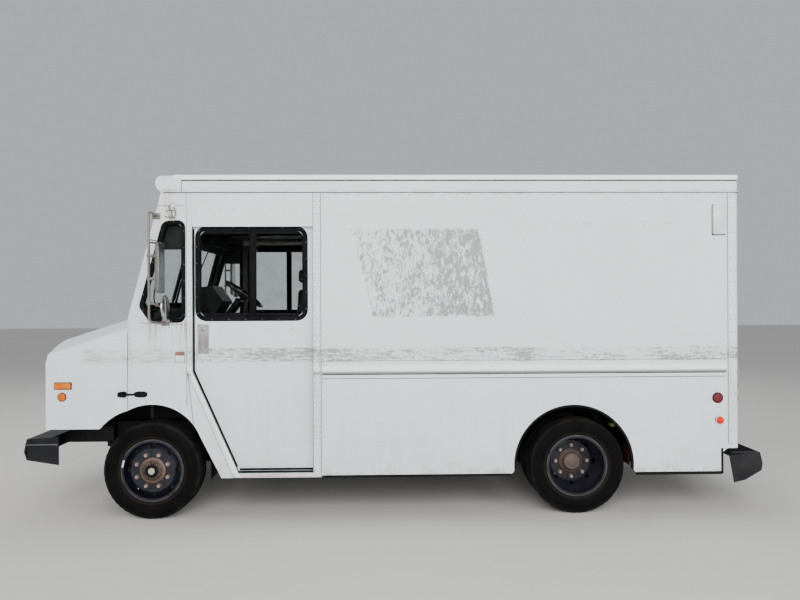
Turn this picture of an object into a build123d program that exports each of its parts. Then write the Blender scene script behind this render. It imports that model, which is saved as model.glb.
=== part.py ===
"""A walk-in step van: ladder chassis, alloy cargo body, sliding cab doors, swing rear doors, tilting hood.

Millimetres. +X is forward, +Y is the van's left side, +Z is up. The origin is on the ground, half way
between the two bumper faces and on the centre line.
"""
import os
from math import cos, radians, sin

from build123d import *

os.makedirs("parts", exist_ok=True)

# ---- Overall sizes ----
wheelbase = 3570.0
front_overhang = 1062.0            # front axle to front bumper face
rear_overhang = 1618.0             # rear axle to rear bumper face
body_width = 2340.0
roof_edge_z = 2862.0               # top of the rounded rail along each roof edge
roof_crown = 34.0                  # rise of the roof's middle over its edges

# ---- Walls and panels ----
wall = 35.0                        # body side, a whole wall with its inner lining
roof_wall = 30.0
panel = 15.0                       # thin inner panels: wheelhouses, pocket linings, risers
glass_thickness = 6.0
running_clearance = 0.05           # radial play of every pin and spindle in its bore
moving_gap = 6.0                   # least gap round a piece that moves
seat_gap = 2.0

# ---- Heights ----
sill_z = 350.0                     # underside of the cab's sill
sill_top_z = 388.0
body_bottom_z = 362.0
floor_depth = 40.0
cross_sill_depth = 60.0            # sills between the frame rails and the floor
rail_over_axle = 104.5             # frame rail's underside over the wheels' centre height
rail_depth = 190.0
belt_z = 1688.0                    # lower edge of the glass in the doors
arch_clearance = 152.0             # front arch's crown over the top of the tyre
cowl_z = 1663.0                    # top of the seam between hood and cab
roof_rail_depth = 140.0            # roof edge down to the gutter
door_header = 288.0                # gutter down to the top of the door opening

# ---- Wheels ----
tyre_radius = 405.5
tyre_width = 225.0
bead_radius = 248.0
rim_width = 170.0
rim_flange = 12.0
rim_gauge = 12.0
front_wheel_y = 1028.0             # centre plane of each front tyre
dual_spacing = 254.0
outer_dual_y = 998.0
bolt_circle = 275.0
hand_hole_count = 8
hand_hole_radius = 23.0
kingpin_y = 860.0
kingpin_radius = 18.0
spindle_radius = 28.0
rear_spindle_radius = 42.0

# ---- Cab ----
nose_ahead = 851.0                 # front axle to the hood's face
seam_ahead = 180.0                 # front axle to the seam between hood and cab
door_front_behind = 349.0          # front axle to the front edge of the door opening
door_width = 994.0
door_post = 68.0                   # post between door opening and cargo side
door_recess = 50.0                 # door's outer face inboard of the body side
door_thickness = 32.0
door_overlap = 15.0                # door behind the edge of its opening
door_travel = 850.0
hood_skin = 22.0

# ---- Cargo body ----
cargo_tail = 1355.0                # rear axle to the body's rear face
corner_post = 99.0
rear_arch_clearance = 99.5         # arch's radius over the tyre's
rear_arch_ahead = 45.0
rear_arch_lift = 24.5              # arch's centre over the wheel's
rub_rail_out = 22.0

# ---- Worked out from those ----
half_width = body_width / 2
inner_y = half_width - wall
front_axle_x = (front_overhang + wheelbase + rear_overhang) / 2 - front_overhang
rear_axle_x = front_axle_x - wheelbase
front_face_x = front_axle_x + front_overhang
rear_face_x = rear_axle_x - rear_overhang
gutter_z = roof_edge_z - roof_rail_depth
wheel_z = tyre_radius
rail_bottom_z = wheel_z + rail_over_axle
rail_top_z = rail_bottom_z + rail_depth
floor_bottom_z = rail_top_z + cross_sill_depth
floor_z = floor_bottom_z + floor_depth              # top of cargo floor and cab floor
arch_top_z = 2 * tyre_radius + arch_clearance
rear_arch_radius = tyre_radius + rear_arch_clearance
nose_x = front_axle_x + nose_ahead
seam_x = front_axle_x + seam_ahead
door_front_x = front_axle_x - door_front_behind
door_rear_x = door_front_x - door_width
post_rear_x = door_rear_x - door_post
door_top_z = gutter_z - door_header
body_rear_x = rear_axle_x - cargo_tail
side_rear_x = body_rear_x + corner_post

# ---- Slope of the windshield and of the door's lower front edge ----
pillar_foot = (front_axle_x + 172.0, 1706.0)
pillar_lean = 0.2645               # how far the pillar goes back for each unit up
kick_top_z = 1234.0                # where the door's front edge starts to slant
kick_lean = 0.4438                 # how far that edge goes back for each unit down


def pillar_x(z):
    """Front edge of the cab side at a height."""
    return pillar_foot[0] - (z - pillar_foot[1]) * pillar_lean


def kick_x(z):
    """Front edge of the door opening at a height."""
    return door_front_x - max(0.0, kick_top_z - z) * kick_lean


def block(low, high, mode=Mode.ADD):
    """A box between two corners."""
    middle = [(a + b) / 2 for a, b in zip(low, high)]
    with Locations(tuple(middle)):
        Box(*[b - a for a, b in zip(low, high)], mode=mode)


def prism(points, y_low, y_high, mode=Mode.ADD, corners=0.0):
    """A side-view outline, given as (x, z) points, carried across from one y to another."""
    with BuildSketch(Plane.XZ.offset(-y_low)) as outline:
        Polygon(*points, align=None)
        if corners:
            fillet(outline.vertices(), corners)
    extrude(outline.sketch, amount=y_high - y_low, dir=(0, 1, 0), mode=mode)


def rod(start, end, radius, mode=Mode.ADD):
    """A round bar between two points."""
    start, end = Vector(*start), Vector(*end)
    with BuildSketch(Plane(origin=start, z_dir=end - start)) as section:
        Circle(radius)
    extrude(section.sketch, amount=(end - start).length, dir=end - start, mode=mode)


def both_sides(low, high, mode=Mode.ADD):
    """The same box on the left and on the right."""
    block(low, high, mode)
    block((low[0], -high[1], low[2]), (high[0], -low[1], high[2]), mode)


def save(builder, name):
    """Label a finished piece and write it."""
    builder.part.label = name
    export_step(builder.part, f"parts/{name}.step")


def mirrored(builder, name):
    """The right-hand twin of a left-hand piece."""
    with BuildPart() as twin:
        mirror(builder.part, about=Plane.XZ)
    save(twin, name)


# ============================== Chassis ==============================
rail_y = 430.0                     # outer face of each rail's web
rail_flange = 70.0
rail_gauge = 8.0
rail_rear_x = body_rear_x + 20.0
rail_front_x = front_face_x - 205.0
cross_width = 60.0
cross_gap = 20.0                   # between a cross member and the rail's edges
engine_length = 820.0
engine_rear_x = front_axle_x - 163.0
spring_y = 480.0
spring_width = 75.0
spring_depth = 42.0
spring_half = 610.0
spring_rise = 110.0
hanger_width = 60.0
beam_half = 42.0
beam_drop = 105.5                  # beam's underside below the wheels' centre height
beam_low_z = wheel_z - beam_drop
beam_depth = 80.0
axle_tube = 60.0
hood_hinge_x = nose_x - 44.0
hood_hinge_z = rail_top_z + 55.0
hood_hinge_radius = 8.0
hood_hinge_y = rail_y - 40.0
hanger_top_gap = 30.0              # spring hanger's top below the rail's top
ear_depth = 15.0
hinge_pin_reach = 24.0

cross_member_xs = [rail_front_x - 150.0, engine_rear_x - 560.0, door_rear_x - 350.0,
                   rear_axle_x + 950.0, rear_axle_x + 420.0, rear_axle_x - 420.0, rail_rear_x + 60.0]

with BuildPart() as chassis_frame:
    for side in (1, -1):
        web = sorted((side * rail_y, side * (rail_y - rail_gauge)))
        flange = sorted((side * rail_y, side * (rail_y - rail_flange)))
        block((rail_rear_x, web[0], rail_bottom_z), (rail_front_x, web[1], rail_top_z))
        block((rail_rear_x, flange[0], rail_bottom_z), (rail_front_x, flange[1], rail_bottom_z + rail_gauge))
        block((rail_rear_x, flange[0], rail_top_z - rail_gauge), (rail_front_x, flange[1], rail_top_z))
        ear = sorted((side * (hood_hinge_y - ear_depth), side * hood_hinge_y))
        block((hood_hinge_x - ear_depth, ear[0], rail_top_z), (hood_hinge_x + ear_depth, ear[1], hood_hinge_z + ear_depth))
        rod((hood_hinge_x, side * (hood_hinge_y - ear_depth), hood_hinge_z),
            (hood_hinge_x, side * (hood_hinge_y + hinge_pin_reach), hood_hinge_z), hood_hinge_radius)
        hanger = sorted((side * rail_y, side * (spring_y + spring_width / 2)))
        for axle_x, seat_z in ((front_axle_x, beam_low_z + beam_depth), (rear_axle_x, wheel_z + axle_tube)):
            eye_z = seat_z + spring_rise + spring_depth
            for end in (1, -1):
                eye_x = axle_x + end * spring_half
                block((eye_x - hanger_width, hanger[0], eye_z), (eye_x + hanger_width, hanger[1], rail_top_z - hanger_top_gap))
    for x in cross_member_xs:
        block((x - cross_width / 2, -rail_y + rail_gauge, rail_bottom_z + 80.0),
              (x + cross_width / 2, rail_y - rail_gauge, rail_top_z - cross_gap))
save(chassis_frame, "chassis_frame")

with BuildPart() as leaf_springs:
    for side in (1, -1):
        ys = sorted((side * (spring_y - spring_width / 2), side * (spring_y + spring_width / 2)))
        for axle_x, seat_z in ((front_axle_x, beam_low_z + beam_depth), (rear_axle_x, wheel_z + axle_tube)):
            with BuildSketch(Plane.XZ.offset(-ys[0])):
                with BuildLine():
                    ends = [(axle_x - spring_half, seat_z + spring_rise), (axle_x + spring_half, seat_z + spring_rise)]
                    ThreePointArc(ends[0], (axle_x, seat_z), ends[1])
                    Line(ends[1], (ends[1][0], ends[1][1] + spring_depth))
                    ThreePointArc((ends[1][0], ends[1][1] + spring_depth), (axle_x, seat_z + spring_depth),
                                  (ends[0][0], ends[0][1] + spring_depth))
                    Line((ends[0][0], ends[0][1] + spring_depth), ends[0])
                make_face()
            extrude(amount=-(ys[1] - ys[0]))
save(leaf_springs, "leaf_springs")

# The front beam drops between the springs and rises to an eye that holds each kingpin.
eye_height = 90.0
eye_radius = 42.0
beam_end = 40.0                    # half of the beam's height at the eye
beam_level = 75.0                  # level length beside the pin, clear of the yoke as it turns
kingpin_reach = 150.0              # pin above and below the wheel's centre height
beam_rise_y = spring_y + 120.0
with BuildPart() as front_axle:
    with BuildSketch(Plane.YZ.offset(front_axle_x - beam_half)):
        top_z = beam_low_z + beam_depth
        level_y = kingpin_y - beam_level
        under = [(-kingpin_y, wheel_z - beam_end), (-level_y, wheel_z - beam_end), (-beam_rise_y, beam_low_z),
                 (beam_rise_y, beam_low_z), (level_y, wheel_z - beam_end), (kingpin_y, wheel_z - beam_end)]
        over = [(kingpin_y, wheel_z + beam_end), (level_y, wheel_z + beam_end), (beam_rise_y, top_z),
                (-beam_rise_y, top_z), (-level_y, wheel_z + beam_end), (-kingpin_y, wheel_z + beam_end)]
        outline = under + over
        Polygon(*outline, align=None)
    extrude(amount=2 * beam_half)
    for side in (1, -1):
        rod((front_axle_x, side * kingpin_y, wheel_z - eye_height / 2),
            (front_axle_x, side * kingpin_y, wheel_z + eye_height / 2), eye_radius)
        rod((front_axle_x, side * kingpin_y, wheel_z - kingpin_reach),
            (front_axle_x, side * kingpin_y, wheel_z + kingpin_reach), kingpin_radius)
save(front_axle, "front_axle")

# Each knuckle is a yoke round the beam's eye, with a spindle for the wheel.
yoke_gap = 5.0
yoke_ear = 40.0
yoke_plate_y = kingpin_y + 52.0
yoke_plate = 26.0
spindle_end_y = front_wheel_y + 60.0
with BuildPart() as knuckle_left:
    for side in (1, -1):
        ear_near = wheel_z + side * (eye_height / 2 + yoke_gap)
        ear_far = ear_near + side * yoke_ear
        low, high = sorted((ear_near, ear_far))
        block((front_axle_x - 45.0, kingpin_y - 36.0, low), (front_axle_x + 45.0, yoke_plate_y + yoke_plate, high))
    block((front_axle_x - 45.0, yoke_plate_y, wheel_z - eye_height / 2 - yoke_gap),
          (front_axle_x + 45.0, yoke_plate_y + yoke_plate, wheel_z + eye_height / 2 + yoke_gap))
    rod((front_axle_x, yoke_plate_y + yoke_plate / 2, wheel_z), (front_axle_x, spindle_end_y, wheel_z), spindle_radius)
    rod((front_axle_x, kingpin_y, wheel_z - 200.0), (front_axle_x, kingpin_y, wheel_z + 200.0),
        kingpin_radius + running_clearance, Mode.SUBTRACT)
save(knuckle_left, "knuckle_left")
mirrored(knuckle_left, "knuckle_right")

housing_radius = 185.0
rear_spindle_reach = 30.0          # spindle past the plane where the two rims meet
pinion_length = 245.0
inner_dual_y = outer_dual_y - dual_spacing
rear_hub_y = outer_dual_y - dual_spacing / 2       # plane where the two rims meet
with BuildPart() as rear_axle:
    tube_end_y = inner_dual_y - rim_width / 2 - 30.0
    rod((rear_axle_x, -tube_end_y, wheel_z), (rear_axle_x, tube_end_y, wheel_z), axle_tube)
    rod((rear_axle_x, -rear_hub_y - rear_spindle_reach, wheel_z),
        (rear_axle_x, rear_hub_y + rear_spindle_reach, wheel_z), rear_spindle_radius)
    with Locations((rear_axle_x, 0, wheel_z)):
        Sphere(housing_radius)
    rod((rear_axle_x, 0, wheel_z), (rear_axle_x + pinion_length, 0, wheel_z), 70.0)
save(rear_axle, "rear_axle")

gearbox_length = 520.0
shaft_over_rail = 30.0
shaft_z = rail_bottom_z + shaft_over_rail
engine_half = 260.0
engine_drop = 40.0                 # engine's sump below the rails
engine_height = 615.0
engine_top_z = rail_bottom_z - engine_drop + engine_height
gearbox_half = 160.0
gearbox_drop = 30.0
with BuildPart() as engine_block:
    block((engine_rear_x, -engine_half, rail_bottom_z - engine_drop),
          (engine_rear_x + engine_length, engine_half, engine_top_z))
    block((engine_rear_x - gearbox_length, -gearbox_half, rail_bottom_z - gearbox_drop),
          (engine_rear_x, gearbox_half, rail_top_z + 20.0))
save(engine_block, "engine_block")

radiator_gap = 22.0
radiator_depth = 55.0
radiator_half = 400.0
radiator_height = 560.0
with BuildPart() as radiator:
    radiator_x = engine_rear_x + engine_length + radiator_gap
    block((radiator_x, -radiator_half, rail_top_z),
          (radiator_x + radiator_depth, radiator_half, rail_top_z + radiator_height))
save(radiator, "radiator")

joint_length = 60.0
joint_radius = 46.0
shaft_tube = 42.0
with BuildPart() as driveshaft:
    shaft_front = (engine_rear_x - gearbox_length, 0, shaft_z)
    shaft_rear = (rear_axle_x + pinion_length, 0, wheel_z)
    yoke_front = (shaft_front[0] - joint_length, 0, shaft_z)
    yoke_rear = (shaft_rear[0] + joint_length, 0, wheel_z)
    rod(shaft_front, yoke_front, joint_radius)
    rod(yoke_front, yoke_rear, shaft_tube)
    rod(yoke_rear, shaft_rear, joint_radius)
save(driveshaft, "driveshaft")

tank_front_x = door_rear_x - 420.0
tank_width = 430.0
tank_drop = 110.0                  # tank's underside below the rails
tank_corner = 45.0
with BuildPart() as fuel_tank:
    block((rear_axle_x + 700.0, rail_y, rail_bottom_z - tank_drop), (tank_front_x, rail_y + tank_width, rail_top_z - 10.0))
    fillet(fuel_tank.edges().filter_by(Axis.X), tank_corner)
save(fuel_tank, "fuel_tank")

muffler_y = -620.0
muffler_z = rail_bottom_z + 50.0
muffler_radius = 110.0
pipe_radius = 32.0
muffler_rear_x = rear_axle_x + 900.0
muffler_front_x = door_rear_x - 300.0
tail_pipe_length = 300.0
with BuildPart() as exhaust:
    rod((muffler_rear_x, muffler_y, muffler_z), (muffler_front_x, muffler_y, muffler_z), muffler_radius)
    rod((muffler_rear_x - tail_pipe_length, muffler_y, muffler_z), (muffler_rear_x, muffler_y, muffler_z), pipe_radius)
    rod((muffler_front_x, muffler_y, muffler_z), (engine_rear_x - 260.0, muffler_y, muffler_z), pipe_radius)
save(exhaust, "exhaust")

# ============================== Wheels ==============================
bead_half = rim_width / 2


def tyre_ring(centre_y):
    """A tyre turned about the Y axis from its section, from bead to bead over the tread."""
    half = tyre_width / 2
    tread = tyre_radius
    shoulder = half - 24.0
    with BuildSketch(Plane.YZ) as section:
        with BuildLine():
            bead = [(centre_y - bead_half, bead_radius), (centre_y + bead_half, bead_radius)]
            Line(bead[0], bead[1])
            Line(bead[1], (centre_y + bead_half, bead_radius + rim_flange))
            side = [(centre_y + bead_half, bead_radius + rim_flange), (centre_y + half, (bead_radius + tread) / 2),
                    (centre_y + shoulder + 8.0, tread - 10.0)]
            ThreePointArc(*side)
            Line(side[2], (centre_y + shoulder, tread - 2.0))
            ThreePointArc((centre_y + shoulder, tread - 2.0), (centre_y, tread), (centre_y - shoulder, tread - 2.0))
            Line((centre_y - shoulder, tread - 2.0), (centre_y - shoulder - 8.0, tread - 10.0))
            ThreePointArc((centre_y - shoulder - 8.0, tread - 10.0), (centre_y - half, (bead_radius + tread) / 2),
                          (centre_y - bead_half, bead_radius + rim_flange))
            Line((centre_y - bead_half, bead_radius + rim_flange), bead[0])
        make_face()
    revolve(section.sketch, axis=Axis.Y)


def turned(points):
    """A ring turned from (y, radius) points about the Y axis."""
    with BuildSketch(Plane.YZ) as section:
        Polygon(*points, align=None)
    revolve(section.sketch, axis=Axis.Y)


def barrel(centre_y):
    """Rim barrel with its two flanges."""
    low = bead_radius - rim_gauge
    top = bead_radius + rim_flange
    a, b = centre_y - bead_half, centre_y + bead_half
    turned([(a - rim_flange, low), (b + rim_flange, low), (b + rim_flange, top), (b, top), (b, bead_radius),
            (a, bead_radius), (a, top), (a - rim_flange, top)])


def placed(builder, axle_x, name, side=1):
    """Move a wheel from the Y axis to its axle and write it."""
    with BuildPart() as wheel:
        add(builder.part.moved(Location((axle_x, 0, wheel_z))))
    if side > 0:
        save(wheel, name)
    else:
        mirrored(wheel, name)


disc_gauge = 14.0
hub_radius = 82.0
front_disc_y = front_wheel_y + 78.0                # outer face of the front disc's flat
hub_inner_y = yoke_plate_y + yoke_plate + 6.0
hub_cap_y = front_disc_y + 34.0

with BuildPart() as front_rim:
    barrel(front_wheel_y)
    foot_y = front_wheel_y + 10.0
    turned([(foot_y, bead_radius - rim_gauge + 1.0), (foot_y + 16.0, bead_radius - rim_gauge + 1.0),
            (front_disc_y, 182.0), (front_disc_y, spindle_radius + running_clearance),
            (front_disc_y - disc_gauge, spindle_radius + running_clearance), (front_disc_y - disc_gauge, 175.0)])
    turned([(hub_inner_y, spindle_radius + running_clearance), (hub_inner_y, hub_radius + 60.0),
            (hub_inner_y + 30.0, hub_radius + 60.0), (hub_inner_y + 30.0, hub_radius),
            (hub_cap_y - 14.0, hub_radius), (hub_cap_y, hub_radius - 16.0), (hub_cap_y, 0.0),
            (spindle_end_y + 8.0, 0.0), (spindle_end_y + 8.0, spindle_radius + running_clearance)])
    with BuildSketch(Plane.XZ.offset(-front_disc_y - 30.0)):
        with PolarLocations(207.0, hand_hole_count):
            Circle(hand_hole_radius)
    extrude(amount=110.0, mode=Mode.SUBTRACT)

with BuildPart() as front_tyre:
    tyre_ring(front_wheel_y)

rear_cap_y = rear_hub_y + 66.0
rear_bore_end_y = rear_hub_y + rear_spindle_reach + 6.0
with BuildPart() as rear_rims:
    for centre_y, outward in ((outer_dual_y, 1), (inner_dual_y, -1)):
        barrel(centre_y)
        foot = centre_y - outward * 10.0
        turned([(foot, bead_radius - rim_gauge + 1.0), (foot + outward * 16.0, bead_radius - rim_gauge + 1.0),
                (rear_hub_y + outward * disc_gauge, 175.0), (rear_hub_y + outward * disc_gauge, hub_radius - 1.0),
                (rear_hub_y, hub_radius - 1.0), (rear_hub_y, 182.0)])
    bore = rear_spindle_radius + running_clearance
    turned([(rear_hub_y - 60.0, bore), (rear_hub_y - 60.0, hub_radius), (rear_cap_y - 20.0, hub_radius),
            (rear_cap_y, hub_radius - 20.0), (rear_cap_y, 0.0), (rear_bore_end_y, 0.0), (rear_bore_end_y, bore)])
    drum_y = tube_end_y + 8.0
    turned([(drum_y, 196.0), (rear_hub_y - 30.0, 196.0), (rear_hub_y - 30.0, hub_radius - 1.0),
            (rear_hub_y - 44.0, hub_radius - 1.0), (rear_hub_y - 44.0, 182.0), (drum_y, 182.0)])
    with BuildSketch(Plane.XZ.offset(-rear_hub_y - 60.0)):
        with PolarLocations(207.0, hand_hole_count):
            Circle(hand_hole_radius)
    extrude(amount=120.0, mode=Mode.SUBTRACT)

with BuildPart() as rear_tyres:
    for centre_y in (outer_dual_y, inner_dual_y):
        tyre_ring(centre_y)

for side, word in ((1, "left"), (-1, "right")):
    placed(front_rim, front_axle_x, f"front_rim_{word}", side)
    placed(front_tyre, front_axle_x, f"front_tyre_{word}", side)
    placed(rear_rims, rear_axle_x, f"rear_rims_{word}", side)
    placed(rear_tyres, rear_axle_x, f"rear_tyres_{word}", side)

# ============================== Floors ==============================
pocket_y = half_width - door_recess - door_thickness - 18.0    # inner side of the sliding door's pocket
pocket_rear_x = door_rear_x - door_overlap - door_travel - 20.0
bulkhead_x = post_rear_x - 52.0
bulkhead_gauge = 25.0
bulkhead_rear_x = bulkhead_x - bulkhead_gauge      # joint between cargo floor and cab floor
wheelhouse_y = rail_y + 170.0
wheelhouse_top_z = floor_z + 160.0
front_house_y = 640.0
front_house_top_z = arch_top_z + 37.0
front_house_rear_x = front_axle_x - 403.0
firewall_x = seam_x - 38.0                         # rear face of the firewall
firewall_gauge = 30.0
step_inner_y = 700.0
cover_half = 335.0
cover_rear_x = engine_rear_x - 250.0
cover_top_z = engine_top_z + 105.0
rear_house = (rear_axle_x - tyre_radius - 154.5, rear_axle_x + tyre_radius + 244.5)

with BuildPart() as cargo_floor:
    block((side_rear_x, -inner_y, floor_bottom_z), (pocket_rear_x, inner_y, floor_z))
    block((pocket_rear_x, -pocket_y + panel, floor_bottom_z), (bulkhead_rear_x, pocket_y - panel, floor_z))
    both_sides((rear_house[0], wheelhouse_y, floor_bottom_z), (rear_house[1], inner_y, wheelhouse_top_z))
    both_sides((rear_house[0] + panel, wheelhouse_y + panel, floor_bottom_z - 1.0),
               (rear_house[1] - panel, inner_y + 1.0, wheelhouse_top_z - panel), Mode.SUBTRACT)
    sill_count = 9
    sill_pitch = (bulkhead_rear_x - side_rear_x - 160.0) / (sill_count - 1)
    for i in range(sill_count):
        x = side_rear_x + 80.0 + i * sill_pitch
        reach = wheelhouse_y - 20.0
        block((x - 30.0, -reach, rail_top_z), (x + 30.0, reach, floor_bottom_z))
save(cargo_floor, "cargo_floor")

well_top_x = kick_x(floor_z) + 55.0
with BuildPart() as cab_floor:
    block((bulkhead_rear_x, -pocket_y, floor_bottom_z), (post_rear_x, pocket_y, floor_z))
    block((post_rear_x, -step_inner_y, floor_bottom_z), (firewall_x, step_inner_y, floor_z))
    well_slope = [(kick_x(sill_z) + 45.0, sill_z), (well_top_x, floor_z), (well_top_x + panel, floor_z),
                  (kick_x(sill_z) + 45.0 + panel, sill_z)]
    for side in (1, -1):
        ys = sorted((side * step_inner_y, side * inner_y))
        block((door_rear_x, ys[0], sill_z), (kick_x(sill_z) + 50.0, ys[1], sill_top_z - 3.0))
        prism(well_slope, ys[0], ys[1])
        riser = sorted((side * step_inner_y, side * (step_inner_y - panel)))
        prism([(door_rear_x, sill_z), (kick_x(sill_z) + 50.0, sill_z), (well_top_x, floor_z), (door_rear_x, floor_z)],
              riser[0], riser[1])
        rear_wall = sorted((side * (step_inner_y - panel), side * pocket_y))
        block((door_rear_x - panel, rear_wall[0], sill_z), (door_rear_x, rear_wall[1], floor_z))
        block((well_top_x, ys[0], floor_bottom_z), (front_house_rear_x + panel, ys[1], floor_z))
    both_sides((front_house_rear_x, front_house_y, floor_bottom_z), (firewall_x, inner_y, front_house_top_z))
    both_sides((front_house_rear_x + panel, front_house_y + panel, floor_bottom_z - 1.0),
               (firewall_x + 1.0, inner_y + 1.0, front_house_top_z - panel), Mode.SUBTRACT)
    block((cover_rear_x + panel, -cover_half + panel, floor_bottom_z - 1.0),
          (firewall_x + 1.0, cover_half - panel, floor_z + 1.0), Mode.SUBTRACT)
    for x in (post_rear_x + 120.0, door_front_x - 560.0, door_front_x - 120.0):
        both_sides((x - 30.0, 180.0, rail_top_z), (x + 30.0, step_inner_y - 60.0, floor_bottom_z))
save(cab_floor, "cab_floor")

with BuildPart() as engine_cover:
    prism([(cover_rear_x, floor_z), (firewall_x, floor_z), (firewall_x, cover_top_z),
           (cover_rear_x + 180.0, cover_top_z - 60.0), (cover_rear_x, cover_top_z - 200.0)], -cover_half, cover_half)
    fillet(engine_cover.edges().filter_by(Axis.X).sort_by(Axis.Z)[-2:], 40.0)
    prism([(cover_rear_x + panel, floor_z - 1.0), (firewall_x + 1.0, floor_z - 1.0),
           (firewall_x + 1.0, cover_top_z - panel), (cover_rear_x + 185.0, cover_top_z - 60.0 - panel),
           (cover_rear_x + panel, cover_top_z - 206.0)], -cover_half + panel, cover_half - panel, Mode.SUBTRACT)
save(engine_cover, "engine_cover")

# ============================== Body sides ==============================
rear_arch_x = rear_axle_x + rear_arch_ahead
rear_arch_z = wheel_z + rear_arch_lift
tail_notch_x = side_rear_x + 52.0
tail_notch_z = 560.0
arch_foot_round = 34.0
rub_low_z = 1206.0
rub_high_z = 1285.0

with BuildPart() as cargo_side_left:
    prism([(post_rear_x, body_bottom_z), (post_rear_x, gutter_z), (side_rear_x, gutter_z),
           (side_rear_x, tail_notch_z), (tail_notch_x, tail_notch_z - 45.0), (tail_notch_x, body_bottom_z)],
          inner_y, half_width)
    rod((rear_arch_x, inner_y - 1.0, rear_arch_z), (rear_arch_x, half_width + 1.0, rear_arch_z),
        rear_arch_radius, Mode.SUBTRACT)
    feet = cargo_side_left.edges().filter_by(Axis.Y).filter_by(
        lambda edge: abs(edge.center().Z - body_bottom_z) < 1.0 and abs(edge.center().X - rear_arch_x) < rear_arch_radius + 1.0)
    fillet(feet, arch_foot_round)
    with BuildSketch(Plane.YZ.offset(side_rear_x + 11.0)) as rub_section:
        with BuildLine():
            Line((half_width, rub_low_z), (half_width, rub_high_z))
            ThreePointArc((half_width, rub_high_z), (half_width + rub_rail_out, (rub_low_z + rub_high_z) / 2),
                          (half_width, rub_low_z))
        make_face()
    extrude(amount=post_rear_x - side_rear_x - 22.0)
save(cargo_side_left, "cargo_side_left")
mirrored(cargo_side_left, "cargo_side_right")

# Cab side: the outline runs up the post, along the gutter, down the pillar and seam, and round the arch.
arch_start = (seam_x, arch_top_z - 46.0)
arch_mid = (front_axle_x - 37.0, arch_top_z)
arch_end = (front_axle_x - 409.0, arch_top_z - 267.0)
arch_foot = (kick_x(sill_z) + 157.0, sill_z)
window_low_z = belt_z - 18.0
quarter_rear_x = door_front_x + 85.0
quarter_top_z = door_top_z + 15.0
quarter_knee_z = belt_z + 91.0
quarter_outline = [(quarter_rear_x, quarter_top_z + 9.0), (pillar_x(quarter_top_z) - 107.0, quarter_top_z),
                   (pillar_x(quarter_knee_z) - 97.0, quarter_knee_z), (pillar_x(belt_z) - 195.7, window_low_z),
                   (quarter_rear_x, window_low_z)]
quarter_corner = 34.0
kick_corner_x = kick_x(sill_top_z)
door_opening = [(door_rear_x, sill_top_z), (kick_corner_x, sill_top_z), (door_front_x, kick_top_z),
                (door_front_x, door_top_z), (door_rear_x, door_top_z)]

with BuildPart() as cab_side_left:
    with BuildSketch(Plane.XZ.offset(-inner_y)):
        with BuildLine():
            Polyline(arch_end, arch_foot, (post_rear_x, sill_z), (post_rear_x, gutter_z),
                     (pillar_x(gutter_z), gutter_z), pillar_foot, (seam_x, cowl_z), arch_start)
            ThreePointArc(arch_start, arch_mid, arch_end)
        make_face()
    extrude(amount=-wall)
    prism(door_opening, inner_y - 1.0, half_width + 1.0, Mode.SUBTRACT)
    prism(quarter_outline, inner_y - 1.0, half_width + 1.0, Mode.SUBTRACT, quarter_corner)
save(cab_side_left, "cab_side_left")
mirrored(cab_side_left, "cab_side_right")

# ============================== Cab front ==============================
shield_z = 1694.0                  # foot of the windshield surround
shield_v = 30.0                    # how far the centre post stands ahead of the corner posts
shield_wall = 40.0
pane_post = 30.0                   # half of the centre post
pane_margin = 95.0                 # from body side to pane
pane_low_z = 1795.0
pane_high_z = door_top_z + 130.0


def shield_slab(front, depth, y_reach, low_z, high_z):
    """A shallow-V slab leaning back at the pillars' slope; front is its offset from the pillar line."""
    foot_x = pillar_x(low_z) + front
    with BuildSketch(Plane.XY.offset(low_z)) as section:
        Polygon((foot_x + shield_v, 0), (foot_x, y_reach), (foot_x - depth, y_reach),
                (foot_x + shield_v - depth, 0), (foot_x - depth, -y_reach), (foot_x, -y_reach), align=None)
    rise = high_z - low_z
    slope = Vector(-pillar_lean, 0, 1)
    extrude(section.sketch, amount=rise * slope.length, dir=slope.normalized())


def pane_cut(mode):
    """The two windshield openings, seen from the front."""
    with BuildSketch(Plane.YZ.offset(pillar_x(gutter_z) - 200.0)) as panes:
        for side in (1, -1):
            ys = sorted((side * pane_post, side * (half_width - pane_margin)))
            with Locations(((ys[0] + ys[1]) / 2, (pane_low_z + pane_high_z) / 2)):
                RectangleRounded(ys[1] - ys[0], pane_high_z - pane_low_z, 45.0)
    extrude(panes.sketch, amount=700.0, dir=(1, 0, 0), mode=mode)


with BuildPart() as cab_front:
    shield_slab(0.0, shield_wall, inner_y, shield_z, gutter_z)
    pane_cut(Mode.SUBTRACT)
    block((firewall_x, -inner_y, front_house_top_z), (firewall_x + firewall_gauge, inner_y, shield_z))
    block((firewall_x, -front_house_y, floor_bottom_z), (firewall_x + firewall_gauge, front_house_y, front_house_top_z))
    block((firewall_x - 1.0, -cover_half + panel, floor_bottom_z - 1.0),
          (firewall_x + firewall_gauge + 1.0, cover_half - panel, cover_top_z - panel), Mode.SUBTRACT)
save(cab_front, "cab_front")

quarter_pane_y = half_width - wall / 2 - glass_thickness / 2
with BuildPart() as cab_glass:
    shield_slab(-shield_wall / 2, glass_thickness, inner_y, shield_z, gutter_z)
    pane_cut(Mode.INTERSECT)
    for side in (1, -1):
        ys = sorted((side * quarter_pane_y, side * (quarter_pane_y + glass_thickness)))
        prism(quarter_outline, ys[0], ys[1], Mode.ADD, quarter_corner)
save(cab_glass, "cab_glass")

# ============================== Roof ==============================
cap_joint_x = door_front_x + 85.0
cap_tip_x = pillar_x(gutter_z) + 47.0
edge_round = 38.0
rear_round = 24.0


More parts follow.
